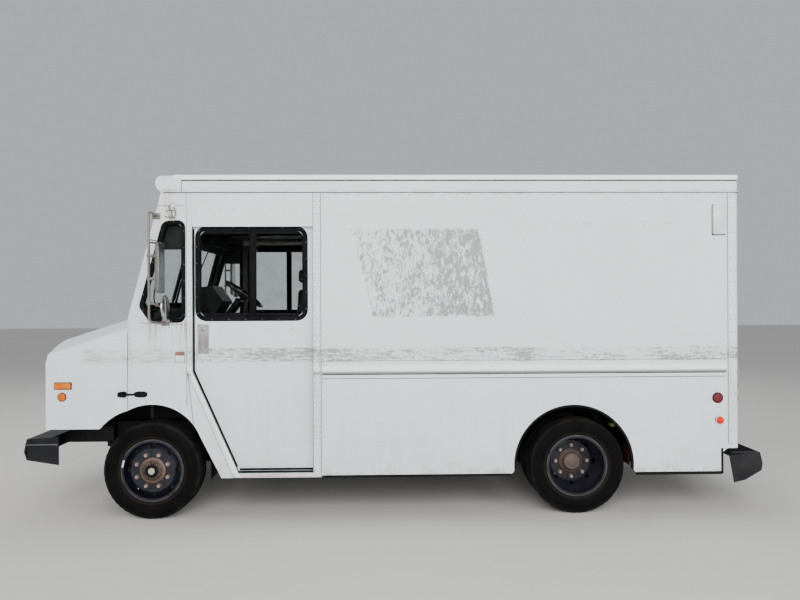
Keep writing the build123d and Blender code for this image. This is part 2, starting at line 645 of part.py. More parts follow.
def roof_section(inset, low_z, x_start, length, mode=Mode.ADD):
    """Crowned roof section between two stations, drawn in by an inset."""
    half = half_width - inset
    edge = roof_edge_z - inset
    with BuildSketch(Plane.YZ.offset(x_start)) as section:
        with BuildLine():
            Polyline((-half, edge), (-half, low_z), (half, low_z), (half, edge))
            ThreePointArc((half, edge), (0, edge + roof_crown), (-half, edge))
        make_face()
        fillet(section.vertices().group_by(Axis.Y)[-1], max(edge_round - inset, 4.0))
    extrude(section.sketch, amount=length, dir=(1, 0, 0), mode=mode)


with BuildPart() as roof:
    roof_section(0.0, gutter_z, body_rear_x, cap_joint_x - body_rear_x)
    roof_section(roof_wall, gutter_z - 1.0, body_rear_x + roof_wall, cap_joint_x - body_rear_x, Mode.SUBTRACT)
    rear_edges = roof.edges().group_by(Axis.X)[0].filter_by(lambda edge: edge.center().Z > gutter_z + 1.0)
    fillet(rear_edges, rear_round)
save(roof, "roof")

# The cap over the windshield is a shell with a rounded brow.
brow_under_x = pillar_x(gutter_z) - 12.0
brow_tip_z = gutter_z + 66.0
brow_top = (cap_tip_x - 90.0, roof_edge_z + 4.0)
cap_rise = 96.0                    # how far the brow's top plane climbs back to the joint
with BuildPart() as cap_hollow:
    roof_section(roof_wall, gutter_z - 1.0, cap_joint_x - 1.0, cap_tip_x - cap_joint_x)
with BuildPart() as cap_envelope:
    prism([(cap_joint_x - 2.0, gutter_z - 2.0), (brow_under_x - 48.0, gutter_z - 2.0), (cap_tip_x - 50.0, brow_tip_z - 11.0),
           (cap_tip_x - 110.0, brow_tip_z + 46.0), (cap_tip_x - 150.0, roof_edge_z + 260.0),
           (cap_joint_x - 2.0, roof_edge_z + 260.0)], -half_width, half_width)
with BuildPart() as cap_core:
    add(cap_hollow.part)
    add(cap_envelope.part, mode=Mode.INTERSECT)
with BuildPart() as brow:
    with BuildSketch(Plane.XZ.offset(-half_width - 1.0)):
        with BuildLine():
            Line((cap_joint_x, gutter_z), (brow_under_x, gutter_z))
            ThreePointArc((brow_under_x, gutter_z), (cap_tip_x, brow_tip_z), brow_top)
            Polyline(brow_top, (cap_joint_x, brow_top[1] + cap_rise), (cap_joint_x, gutter_z))
        make_face()
    extrude(amount=body_width + 2.0)
with BuildPart() as roof_cap:
    roof_section(0.0, gutter_z, cap_joint_x, cap_tip_x - cap_joint_x)
    add(brow.part, mode=Mode.INTERSECT)
    add(cap_core.part, mode=Mode.SUBTRACT)
save(roof_cap, "roof_cap")

# ============================== Rear end ==============================
rear_door_gap = moving_gap
post_inner_y = half_width - 95.0
rear_header_z = door_top_z + 60.0
rear_sill_z = floor_bottom_z - 60.0
rear_door_depth = 38.0
hinge_x = body_rear_x - 18.0
hinge_y = post_inner_y + 10.0
hinge_pin = 7.0
hinge_barrel = 13.0
hinge_zs = [floor_z + 85.0, (floor_z + rear_header_z) / 2, rear_header_z - 140.0]
hinge_half = 30.0

with BuildPart() as rear_frame:
    both_sides((body_rear_x, post_inner_y, tail_notch_z), (side_rear_x, half_width, gutter_z))
    fillet(rear_frame.edges().filter_by(Axis.Z).group_by(Axis.X)[0].sort_by(Axis.Y)[0], 28.0)
    fillet(rear_frame.edges().filter_by(Axis.Z).group_by(Axis.X)[0].sort_by(Axis.Y)[-1], 28.0)
    block((body_rear_x, -post_inner_y, rear_header_z), (side_rear_x, post_inner_y, gutter_z))
    block((body_rear_x, -post_inner_y, rear_sill_z), (side_rear_x, post_inner_y, floor_z))
    for side in (1, -1):
        for z in hinge_zs:
            rod((hinge_x, side * hinge_y, z - hinge_half), (hinge_x, side * hinge_y, z - 2.0), hinge_barrel)
            rod((hinge_x, side * hinge_y, z - hinge_half), (hinge_x, side * hinge_y, z + hinge_half), hinge_pin)
            leaf = sorted((side * (hinge_y - 3.0), side * (hinge_y + 42.0)))
            block((body_rear_x - 6.0, leaf[0], z - hinge_half), (body_rear_x, leaf[1], z - 2.0))
            arm = sorted((side * (hinge_y - 3.0), side * (hinge_y + 10.0)))
            block((hinge_x, arm[0], z - hinge_half), (body_rear_x - 5.0, arm[1], z - 2.0))
save(rear_frame, "rear_frame")

rear_pane_half = 215.0
rear_pane_z = (1760.0, 2230.0)
rear_door_y = (3.0, post_inner_y - rear_door_gap)
rear_pane_y = (rear_door_y[0] + rear_door_y[1]) / 2
rear_door_x = (body_rear_x, body_rear_x + rear_door_depth)


def rear_pane(x_low, x_high, mode):
    """Rounded window shape of the left rear door."""
    with BuildSketch(Plane.YZ.offset(x_low)) as pane:
        with Locations((rear_pane_y, sum(rear_pane_z) / 2)):
            RectangleRounded(2 * rear_pane_half, rear_pane_z[1] - rear_pane_z[0], 50.0)
    extrude(pane.sketch, amount=x_high - x_low, dir=(1, 0, 0), mode=mode)


with BuildPart() as rear_door_left:
    block((rear_door_x[0], rear_door_y[0], floor_z + rear_door_gap),
          (rear_door_x[1], rear_door_y[1], rear_header_z - rear_door_gap))
    rear_pane(rear_door_x[0] - 1.0, rear_door_x[1] + 1.0, Mode.SUBTRACT)
    for z in hinge_zs:
        rod((hinge_x, hinge_y, z + 2.0), (hinge_x, hinge_y, z + hinge_half), hinge_barrel)
        block((hinge_x, hinge_y - 60.0, z + 2.0), (body_rear_x, hinge_y - 5.0, z + hinge_half))
        block((hinge_x - 4.0, hinge_y - 22.0, z + 2.0), (hinge_x + 4.0, hinge_y - 5.0, z + hinge_half))
        rod((hinge_x, hinge_y, z - 5.0), (hinge_x, hinge_y, z + hinge_half + 5.0),
            hinge_pin + running_clearance, Mode.SUBTRACT)
save(rear_door_left, "rear_door_left")
mirrored(rear_door_left, "rear_door_right")

with BuildPart() as rear_door_glass_left:
    middle = sum(rear_door_x) / 2
    rear_pane(middle - glass_thickness / 2, middle + glass_thickness / 2, Mode.ADD)
save(rear_door_glass_left, "rear_door_glass_left")
mirrored(rear_door_glass_left, "rear_door_glass_right")

lamp_y = post_inner_y + 47.0
with BuildPart() as tail_lamps:
    for side in (1, -1):
        for z in (983.0, 1090.0, 1197.0):
            rod((body_rear_x, side * lamp_y, z), (body_rear_x - 14.0, side * lamp_y, z), 40.0)
save(tail_lamps, "tail_lamps")

# ============================== Sliding doors ==============================
door_out_y = half_width - door_recess
door_in_y = door_out_y - door_thickness
door_pane_x = (door_rear_x + 84.0, door_front_x - 52.0)
door_pane_z = (belt_z, door_top_z - 32.0)
pane_bar = 26.0


def door_pane(y_low, y_high, mode):
    """Rounded window shape of the left door."""
    with BuildSketch(Plane.XZ.offset(-y_low)) as pane:
        with Locations((sum(door_pane_x) / 2, sum(door_pane_z) / 2)):
            RectangleRounded(door_pane_x[1] - door_pane_x[0], door_pane_z[1] - door_pane_z[0], 60.0)
    extrude(pane.sketch, amount=y_high - y_low, dir=(0, 1, 0), mode=mode)


with BuildPart() as left_door:
    foot_z = sill_top_z + moving_gap + 3.0
    prism([(door_rear_x - door_overlap, foot_z), (kick_x(foot_z) + door_overlap, foot_z),
           (door_front_x + door_overlap, kick_top_z), (door_front_x + door_overlap, door_top_z + door_overlap),
           (door_rear_x - door_overlap, door_top_z + door_overlap)], door_in_y, door_out_y)
    door_pane(door_in_y - 1.0, door_out_y + 1.0, Mode.SUBTRACT)
    bar_x = sum(door_pane_x) / 2 - 8.0
    block((bar_x - pane_bar / 2, door_in_y + 3.0, door_pane_z[0] - 2.0),
          (bar_x + pane_bar / 2, door_out_y - 3.0, door_pane_z[1] + 2.0))
save(left_door, "left_door")
mirrored(left_door, "right_door")

pane_y = (door_in_y + door_out_y) / 2
with BuildPart() as left_door_glass:
    door_pane(pane_y - glass_thickness / 2, pane_y + glass_thickness / 2, Mode.ADD)
    block((bar_x - pane_bar / 2, pane_y - glass_thickness, door_pane_z[0] - 1.0),
          (bar_x + pane_bar / 2, pane_y + glass_thickness, door_pane_z[1] + 1.0), Mode.SUBTRACT)
save(left_door_glass, "left_door_glass")
mirrored(left_door_glass, "right_door_glass")

# Bulkhead behind the cab, with the lining of each sliding door's pocket.
walk_half = 340.0
walk_top_z = door_top_z + 60.0
bulkhead_top_z = roof_edge_z - roof_wall - 12.0
with BuildPart() as bulkhead:
    block((bulkhead_rear_x, -pocket_y + 1.0, floor_z), (bulkhead_x, pocket_y - 1.0, bulkhead_top_z))
    block((bulkhead_rear_x - 1.0, -walk_half, floor_z - 1.0), (bulkhead_x + 1.0, walk_half, walk_top_z), Mode.SUBTRACT)
    both_sides((pocket_rear_x, pocket_y - panel, floor_bottom_z), (bulkhead_rear_x, pocket_y, bulkhead_top_z))
save(bulkhead, "bulkhead")

# ============================== Hood ==============================
hood_rear_x = seam_x + moving_gap
hood_rear_z = cowl_z + 27.0        # hood's top at its rear edge, in the middle
nose_top_z = 1492.0                # where the top turns down into the nose
nose_edge_z = 1418.0               # where the nose becomes upright
nose_round = 50.0                  # length of that turn
hood_top_slope = (hood_rear_z - nose_top_z) / (nose_x - nose_round - hood_rear_x)
hood_bottom_z = arch_top_z - 199.0
hood_arch_z = arch_top_z - 50.0    # arch at the hood's rear edge
crease_rear_z = cowl_z - 132.0     # crease along the hood's side, at its rear and at the nose
crease_front_z = 1313.0
shoulder_steps = [((0.0, 0.0), (38.0, 70.0)), ((38.0, 70.0), (150.0, 112.0))]    # (inboard, up) from the crease


def hood_top(x):
    """Height of the hood's top at a station."""
    return hood_rear_z - (x - hood_rear_x) * hood_top_slope


arch_nose = (front_axle_x + 413.0, hood_bottom_z)
arch_nose_mid = (front_axle_x + 310.0, arch_top_z - 105.0)


def shoulder(drop):
    """Shave the hood's shoulders with planes that climb inboard from the crease along its side."""
    for side in (1, -1):
        for start, end in shoulder_steps:
            rear = Vector(hood_rear_x, side * (half_width - start[0]), crease_rear_z + start[1] - drop)
            front = Vector(nose_x - 15.0, side * (half_width - start[0]), crease_front_z + start[1] - drop)
            inboard = Vector(hood_rear_x, side * (half_width - end[0]), crease_rear_z + end[1] - drop)
            along = front - rear
            normal = along.cross(inboard - rear)
            if normal.Z < 0:
                normal = -normal
            with BuildSketch(Plane(origin=rear, x_dir=along, z_dir=normal)) as cut:
                Rectangle(3000.0, 3000.0)
            extrude(cut.sketch, amount=400.0, dir=normal, mode=Mode.SUBTRACT)


def hood_solid(skin):
    """The hood's outer form, or with a skin the space inside it."""
    back = hood_rear_x - (1.0 if skin else 0.0)
    foot = hood_bottom_z - (200.0 if skin else 0.0)
    half = half_width - skin
    turn_x = nose_x - nose_round - skin * 0.4
    with BuildSketch(Plane.XZ.offset(half)) as section:
        with BuildLine():
            Polyline((back, foot if skin else hood_arch_z), (back, hood_top(back) - skin),
                     (turn_x, hood_top(nose_x - nose_round) - skin))
            ThreePointArc((turn_x, hood_top(nose_x - nose_round) - skin),
                          (nose_x - nose_round * 0.22 - skin * 0.9, (nose_top_z + nose_edge_z) / 2 + 12.0 - skin * 0.8),
                          (nose_x - skin, nose_edge_z - skin * 0.6))
            Polyline((nose_x - skin, nose_edge_z - skin * 0.6), (nose_x - skin, foot), (arch_nose[0], foot))
            if skin:
                Line((arch_nose[0], foot), (back, foot))
            else:
                ThreePointArc(arch_nose, arch_nose_mid, (back, hood_arch_z))
        make_face()
    extrude(section.sketch, amount=2 * half, dir=(0, 1, 0))


with BuildPart() as hood_space:
    hood_solid(hood_skin)
    shoulder(hood_skin)

grille_half = 470.0
grille_z = (905.0, 1235.0)
lamp_centre = (790.0, 1070.0)
lamp_size = (230.0, 170.0)


def lamp_cut(x_low, x_high, mode):
    """Rounded headlamp shape, left and right."""
    with BuildSketch(Plane.YZ.offset(x_low)) as lamp:
        with Locations((lamp_centre[0], lamp_centre[1]), (-lamp_centre[0], lamp_centre[1])):
            RectangleRounded(lamp_size[0], lamp_size[1], 18.0)
    extrude(lamp.sketch, amount=x_high - x_low, dir=(1, 0, 0), mode=mode)


with BuildPart() as hood:
    hood_solid(0.0)
    shoulder(0.0)
    add(hood_space.part, mode=Mode.SUBTRACT)
    block((nose_x - 60.0, -grille_half, grille_z[0]), (nose_x + 1.0, grille_half, grille_z[1]), Mode.SUBTRACT)
    lamp_cut(nose_x - 60.0, nose_x + 1.0, Mode.SUBTRACT)
    for side in (1, -1):
        lug = sorted((side * (hood_hinge_y + 6.0), side * (hood_hinge_y + 20.0)))
        block((hood_hinge_x - 18.0, lug[0], hood_hinge_z - 18.0), (nose_x - hood_skin + 1.0, lug[1], hood_bottom_z + 51.0))
        rod((hood_hinge_x, side * (hood_hinge_y), hood_hinge_z), (hood_hinge_x, side * (hood_hinge_y + 30.0), hood_hinge_z),
            hood_hinge_radius + running_clearance, Mode.SUBTRACT)
save(hood, "hood")

slat_count = 7
with BuildPart() as grille:
    grille_x = (nose_x - hood_skin, nose_x - 2.0)
    block((grille_x[0], -grille_half, grille_z[0]), (grille_x[1], grille_half, grille_z[1]))
    pitch = (grille_z[1] - grille_z[0] - 24.0) / slat_count
    for i in range(slat_count):
        z = grille_z[0] + 12.0 + (i + 0.5) * pitch
        block((grille_x[0] - 1.0, -grille_half + 24.0, z - pitch * 0.3),
              (grille_x[1] + 1.0, grille_half - 24.0, z + pitch * 0.3), Mode.SUBTRACT)
    for y in (-235.0, 0.0, 235.0):
        block((grille_x[0], y - 6.0, grille_z[0]), (grille_x[1] - 6.0, y + 6.0, grille_z[1]))
save(grille, "grille")

with BuildPart() as headlamps:
    lamp_cut(nose_x - 58.0, nose_x - 3.0, Mode.ADD)
save(headlamps, "headlamps")

# ============================== Bumpers ==============================
bumper_gauge = 10.0
bumper_half = 1110.0
bumper_reach = 284.0               # how far the front bumper's ends wrap back
bumper_top_z = rail_top_z - 26.0
bumper_crease_z = bumper_top_z - 105.0
bumper_foot_z = bumper_top_z - 176.0
bumper_lean = 23.0                 # top and bottom edges behind the crease
bumper_horn = 40.0                 # horn's top below the rail's
tow_eye_radius = 13.0
tow_eye_y = 600.0
tow_eye_x = front_face_x - 110.0
with BuildPart() as front_bumper:
    face = [(front_face_x - bumper_lean, bumper_top_z), (front_face_x, bumper_crease_z),
            (front_face_x - bumper_lean + 1.0, bumper_foot_z)]
    inner = [(x - bumper_gauge, z) for x, z in reversed(face)]
    prism(face + inner, -bumper_half, bumper_half)
    block((rail_front_x + 5.0, -bumper_half, bumper_top_z - bumper_gauge),
          (front_face_x - bumper_lean - 1.0, bumper_half, bumper_top_z))
    ends = [(front_face_x - bumper_lean - 1.0, bumper_top_z), (front_face_x - bumper_reach, bumper_top_z + 16.0),
            (front_face_x - bumper_reach, bumper_foot_z - 42.0), (front_face_x - bumper_lean - 5.0, bumper_foot_z)]
    prism(ends, bumper_half - bumper_gauge, bumper_half)
    prism(ends, -bumper_half, -bumper_half + bumper_gauge)
    both_sides((rail_front_x, rail_y - rail_flange, rail_bottom_z),
               (front_face_x - 15.0, rail_y, rail_top_z - bumper_horn))
    for side in (1, -1):
        rod((tow_eye_x, side * tow_eye_y, bumper_top_z - bumper_gauge - 1.0),
            (tow_eye_x, side * tow_eye_y, bumper_top_z + 1.0), tow_eye_radius, Mode.SUBTRACT)
save(front_bumper, "front_bumper")

step_top_z = rail_bottom_z - 12.0
step_lean = 22.0                   # step's front corner ahead of the rear face
rear_end_half = 1060.0
hitch_x = rear_face_x + 120.0
with BuildPart() as rear_bumper:
    wing = [(rear_face_x + 289.0, step_top_z - 24.0), (rear_face_x + 247.0, step_top_z - 259.0),
            (rear_face_x + 150.0, step_top_z - 236.0), (rear_face_x + 9.0, step_top_z - 155.0),
            (rear_face_x, step_top_z - 99.0), (rear_face_x + step_lean, step_top_z - 1.0)]
    prism(wing, rear_end_half - bumper_gauge, rear_end_half)
    prism(wing, -rear_end_half, -rear_end_half + bumper_gauge)
    face = [(rear_face_x + step_lean, step_top_z - 1.0), (rear_face_x, step_top_z - 99.0),
            (rear_face_x + 9.0, step_top_z - 155.0)]
    inner = [(x + bumper_gauge, z) for x, z in reversed(face)]
    prism(face + inner, -rear_end_half, rear_end_half)
    block((rear_face_x + step_lean + 2.0, -rear_end_half, step_top_z - bumper_gauge),
          (rear_face_x + 262.0, rear_end_half, step_top_z))
    both_sides((rear_face_x + bumper_gauge, rail_y - rail_flange, rail_bottom_z - 90.0),
               (rail_rear_x + 40.0, rail_y, rail_bottom_z))
    rod((hitch_x, 0, step_top_z - bumper_gauge - 1.0), (hitch_x, 0, step_top_z + 1.0), tow_eye_radius, Mode.SUBTRACT)
save(rear_bumper, "rear_bumper")

# ============================== Cab inside ==============================
driver_y = -600.0
wheel_centre = (front_axle_x - 429.0, driver_y + 50.0, floor_z + 1091.0)
wheel_tilt = 36.0
rim_radius = 226.0
rim_tube = 14.0
shaft_radius = 14.0
column_radius = 42.0
column_axis = Vector(-sin(radians(wheel_tilt)), 0, cos(radians(wheel_tilt)))


def along_column(distance):
    """A point below the wheel's centre, down the steering column."""
    return Vector(*wheel_centre) - column_axis * distance


dash_rear_x = front_axle_x - 125.0
dash_half = inner_y - 60.0
with BuildPart() as dashboard:
    prism([(dash_rear_x, 1470.0), (firewall_x, 1400.0), (firewall_x, shield_z - 20.0), (pillar_x(1770.0) - 120.0, 1740.0),
           (dash_rear_x + 30.0, 1740.0)], -dash_half, dash_half)
    prism([(dash_rear_x - 30.0, 1640.0), (dash_rear_x + 60.0, 1600.0), (front_axle_x + 30.0, 1740.0),
           (front_axle_x + 18.0, 1960.0), (dash_rear_x - 20.0, 1975.0), (dash_rear_x - 130.0, 1815.0)],
          driver_y - 160.0, driver_y + 290.0)
    rod(along_column(75.0), along_column(560.0), column_radius)
    rod(along_column(70.0), along_column(262.0), shaft_radius + running_clearance, Mode.SUBTRACT)
save(dashboard, "dashboard")

wheel_plane = Plane(origin=Vector(*wheel_centre), z_dir=column_axis)
with BuildPart() as steering_wheel:
    with BuildSketch(Plane(origin=wheel_plane.from_local_coords((rim_radius, 0, 0)),
                           x_dir=wheel_plane.x_dir, z_dir=wheel_plane.y_dir)):
        Circle(rim_tube)
    revolve(axis=Axis(wheel_plane.origin, wheel_plane.z_dir))
    for turn in (90.0, 210.0, 330.0):
        reach = (rim_radius * cos(radians(turn)), rim_radius * sin(radians(turn)), 0)
        rod(along_column(20.0), wheel_plane.from_local_coords(reach), 9.0)
    rod(along_column(50.0), along_column(-5.0), 44.0)
    rod(along_column(250.0), along_column(20.0), shaft_radius)
save(steering_wheel, "steering_wheel")

seat_x = front_axle_x - 960.0      # rear of the cushion
cushion_low_z = floor_z + 510.0
cushion_depth = 110.0
cushion_length = 440.0
cushion_half = 240.0
back_lean = 0.08
back_front_x = seat_x - 28.0
back_thickness = 90.0
with BuildPart() as seat_frame:
    block((seat_x + 90.0, driver_y - 150.0, floor_z), (seat_x + 370.0, driver_y + 150.0, cushion_low_z - 46.0))
    block((seat_x - 30.0, driver_y - 220.0, cushion_low_z - 46.0),
          (seat_x + cushion_length - 20.0, driver_y + 220.0, cushion_low_z - seat_gap))
    prism([(seat_x - 30.0, cushion_low_z - 46.0), (seat_x - 128.0 - seat_gap, cushion_low_z - 46.0),
           (seat_x - 200.0, cushion_low_z + 640.0), (seat_x - 175.0, cushion_low_z + 640.0),
           (seat_x - 120.0 - seat_gap, cushion_low_z + 60.0), (seat_x - 120.0, cushion_low_z - seat_gap),
           (seat_x - 30.0, cushion_low_z - seat_gap)], driver_y - 180.0, driver_y + 180.0)
save(seat_frame, "seat_frame")

with BuildPart() as seat_cushion:
    block((seat_x, driver_y - cushion_half, cushion_low_z),
          (seat_x + cushion_length, driver_y + cushion_half, cushion_low_z + cushion_depth))
    fillet(seat_cushion.edges().filter_by(Axis.Y), 35.0)
save(seat_cushion, "seat_cushion")

back_foot_z = cushion_low_z + 20.0
back_top_z = cushion_low_z + 650.0
with BuildPart() as seat_back:
    lean = (back_top_z - back_foot_z) * back_lean
    prism([(back_front_x, back_foot_z), (back_front_x - lean, back_top_z),
           (back_front_x - lean - back_thickness + 10.0, back_top_z),
           (back_front_x - back_thickness, back_foot_z)], driver_y - 230.0, driver_y + 230.0)
    fillet(seat_back.edges().filter_by(Axis.Y), 30.0)
save(seat_back, "seat_back")

# ============================== Mirrors ==============================
mirror_y = half_width + 150.0
arm_x = front_axle_x - 50.0
arm_high_z = 2520.0
arm_low_z = 1640.0
arm_radius = 11.0
with BuildPart() as side_mirrors:
    for side in (1, -1):
        post = ((arm_x, side * mirror_y, arm_low_z), (arm_x, side * mirror_y, arm_high_z))
        rod(post[0], post[1], arm_radius)
        for z, foot_x in ((arm_high_z, arm_x - 8.0), (arm_low_z, arm_x - 82.0)):
            rod((foot_x, side * half_width, z), (foot_x, side * (half_width + 10.0), z), 3 * arm_radius)
            rod((foot_x, side * (half_width + 8.0), z), (arm_x, side * mirror_y, z), arm_radius)
            with Locations((arm_x, side * mirror_y, z)):
                Sphere(arm_radius)
        head = sorted((side * (mirror_y - 85.0), side * (mirror_y + 85.0)))
        block((arm_x - 100.0, head[0], 1883.0), (arm_x - 72.0, head[1], 2286.0))
        for z in (2000.0, 2180.0):
            rod((arm_x - 74.0, side * mirror_y, z), (arm_x, side * mirror_y, z), 8.0)
        rod((arm_x - 145.0, side * mirror_y, 1766.0), (arm_x - 118.0, side * mirror_y, 1766.0), 100.0)
        rod((arm_x - 120.0, side * mirror_y, 1766.0), (arm_x, side * mirror_y, 1766.0), 8.0)
save(side_mirrors, "side_mirrors")
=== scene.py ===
"""Looks of a walk-in step van: worn white paint, rubber gaskets, rivets, tyres, lamps, cab fittings and the stage."""

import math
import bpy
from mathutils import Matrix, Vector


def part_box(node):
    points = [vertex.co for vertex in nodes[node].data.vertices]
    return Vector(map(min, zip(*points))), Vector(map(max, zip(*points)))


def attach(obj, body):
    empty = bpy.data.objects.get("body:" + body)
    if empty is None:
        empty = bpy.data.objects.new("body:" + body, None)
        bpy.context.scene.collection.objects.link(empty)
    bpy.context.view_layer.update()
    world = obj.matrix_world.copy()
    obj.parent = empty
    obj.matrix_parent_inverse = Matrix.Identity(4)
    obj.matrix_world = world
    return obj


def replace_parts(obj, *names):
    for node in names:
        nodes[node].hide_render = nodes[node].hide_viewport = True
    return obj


bl_info = {
    "name": "Step Van",
    "version": (1, 0, 0),
    "blender": (4, 5, 0),
    "location": "3D View > Sidebar > Step Van",
    "description": "Builds the finishes and fittings of a walk-in step van around its fixed frame",
    "category": "Object",
}

import bmesh
import bpy
from mathutils import Matrix, Vector

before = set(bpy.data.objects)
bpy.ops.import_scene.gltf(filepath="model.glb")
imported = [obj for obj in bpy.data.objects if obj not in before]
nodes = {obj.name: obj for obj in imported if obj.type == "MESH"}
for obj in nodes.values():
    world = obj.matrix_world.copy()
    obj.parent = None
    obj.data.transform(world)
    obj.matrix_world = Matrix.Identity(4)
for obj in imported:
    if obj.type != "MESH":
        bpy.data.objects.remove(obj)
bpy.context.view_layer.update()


def low(node):
    """Lowest corner of a frame node."""
    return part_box(node)[0]


def high(node):
    """Highest corner of a frame node."""
    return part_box(node)[1]


# ---- Places taken from the frame, in metres ----
SIDE_Y = high("cab_side_left")[1]                  # outer face of the body side
INNER_Y = low("cab_side_left")[1]
DOOR_Y = high("left_door")[1]
DOOR_IN_Y = low("left_door")[1]
GUTTER_Z = high("cab_side_left")[2]
ROOF_Z = GUTTER_Z + 0.140
POST_X = low("cab_side_left")[0]                   # joint between cab side and cargo side
SEAM_X = low("hood")[0] - 0.006                    # joint between hood and cab
NOSE_X = high("hood")[0]
REAR_X = low("roof")[0]
CAP_X = low("roof_cap")[0]
SIDE_REAR_X = low("cargo_side_left")[0]
WHEEL_Z = high("front_tyre_left")[2] / 2
FRONT_X = (low("front_tyre_left")[0] + high("front_tyre_left")[0]) / 2
REAR_AXLE_X = (low("rear_tyres_left")[0] + high("rear_tyres_left")[0]) / 2
ARCH_X, ARCH_Z, ARCH_R = REAR_AXLE_X + 0.045, WHEEL_Z + 0.0245, WHEEL_Z + 0.0995
BODY_LOW_Z = low("cargo_side_left")[2]
FRONT_TYRE_Y = (low("front_tyre_left")[1] + high("front_tyre_left")[1]) / 2
PANE_LOW, PANE_HIGH = low("left_door_glass"), high("left_door_glass")
PILLAR_FOOT = (FRONT_X + 0.172, 1.706)
PILLAR_LEAN = 0.2645
DOOR_FRONT_X = high("left_door")[0] - 0.015
DOOR_REAR_X = low("left_door")[0] + 0.015
KICK_TOP_Z = 1.234
KICK_LEAN = 0.4438
SILL_Z = low("cab_side_left")[2]


def pillar_x(z):
    """Front edge of the cab side at a height."""
    return PILLAR_FOOT[0] - (z - PILLAR_FOOT[1]) * PILLAR_LEAN


def kick_x(z):
    """Front edge of the door opening at a height."""
    return DOOR_FRONT_X - max(0.0, KICK_TOP_Z - z) * KICK_LEAN


# ---- Settings a user would change ----
class StepVanFinish(bpy.types.PropertyGroup):
    """Colours of the van's finishes."""
    paint: bpy.props.FloatVectorProperty(
        name="Body paint", description="Colour of the body enamel", subtype="COLOR", size=3,
        default=(0.715, 0.785, 0.795))
    bumper: bpy.props.FloatVectorProperty(
        name="Bumper paint", description="Colour of both bumpers", subtype="COLOR", size=3,
        default=(0.0036, 0.0045, 0.0072))
    wheel: bpy.props.FloatVectorProperty(
        name="Wheel paint", description="Colour of the wheel discs", subtype="COLOR", size=3,
        default=(0.0042, 0.0048, 0.0095))
    lining: bpy.props.FloatVectorProperty(
        name="Cab lining", description="Colour of the cab's inner panels", subtype="COLOR", size=3,
        default=(0.014, 0.021, 0.020))
    grime: bpy.props.FloatProperty(
        name="Grime", description="How much road dirt lies on the body", default=0.55, min=0.0, max=1.0,
        subtype="FACTOR")


class StepVanTrim(bpy.types.PropertyGroup):
    """Sizes of the small fittings."""
    rivet_radius: bpy.props.FloatProperty(
        name="Rivet radius", description="Radius of a body rivet's head", default=0.0062, unit="LENGTH")
    rivet_pitch: bpy.props.FloatProperty(
        name="Rivet pitch", description="Spacing of rivets along a post", default=0.050, unit="LENGTH")
    gasket_width: bpy.props.FloatProperty(
        name="Gasket width", description="Rubber that shows outside the glass", default=0.040, unit="LENGTH")
    screw_pitch: bpy.props.FloatProperty(
        name="Screw pitch", description="Spacing of the screws round a window", default=0.145, unit="LENGTH")
    tread_depth: bpy.props.FloatProperty(
        name="Tread depth", description="Depth of the tyre's grooves", default=0.012, unit="LENGTH")


def finish_settings():
    """The colours a user would change."""
    return bpy.context.scene.step_van_finish


def trim_settings():
    """The trim sizes a user would change."""
    return bpy.context.scene.step_van_trim


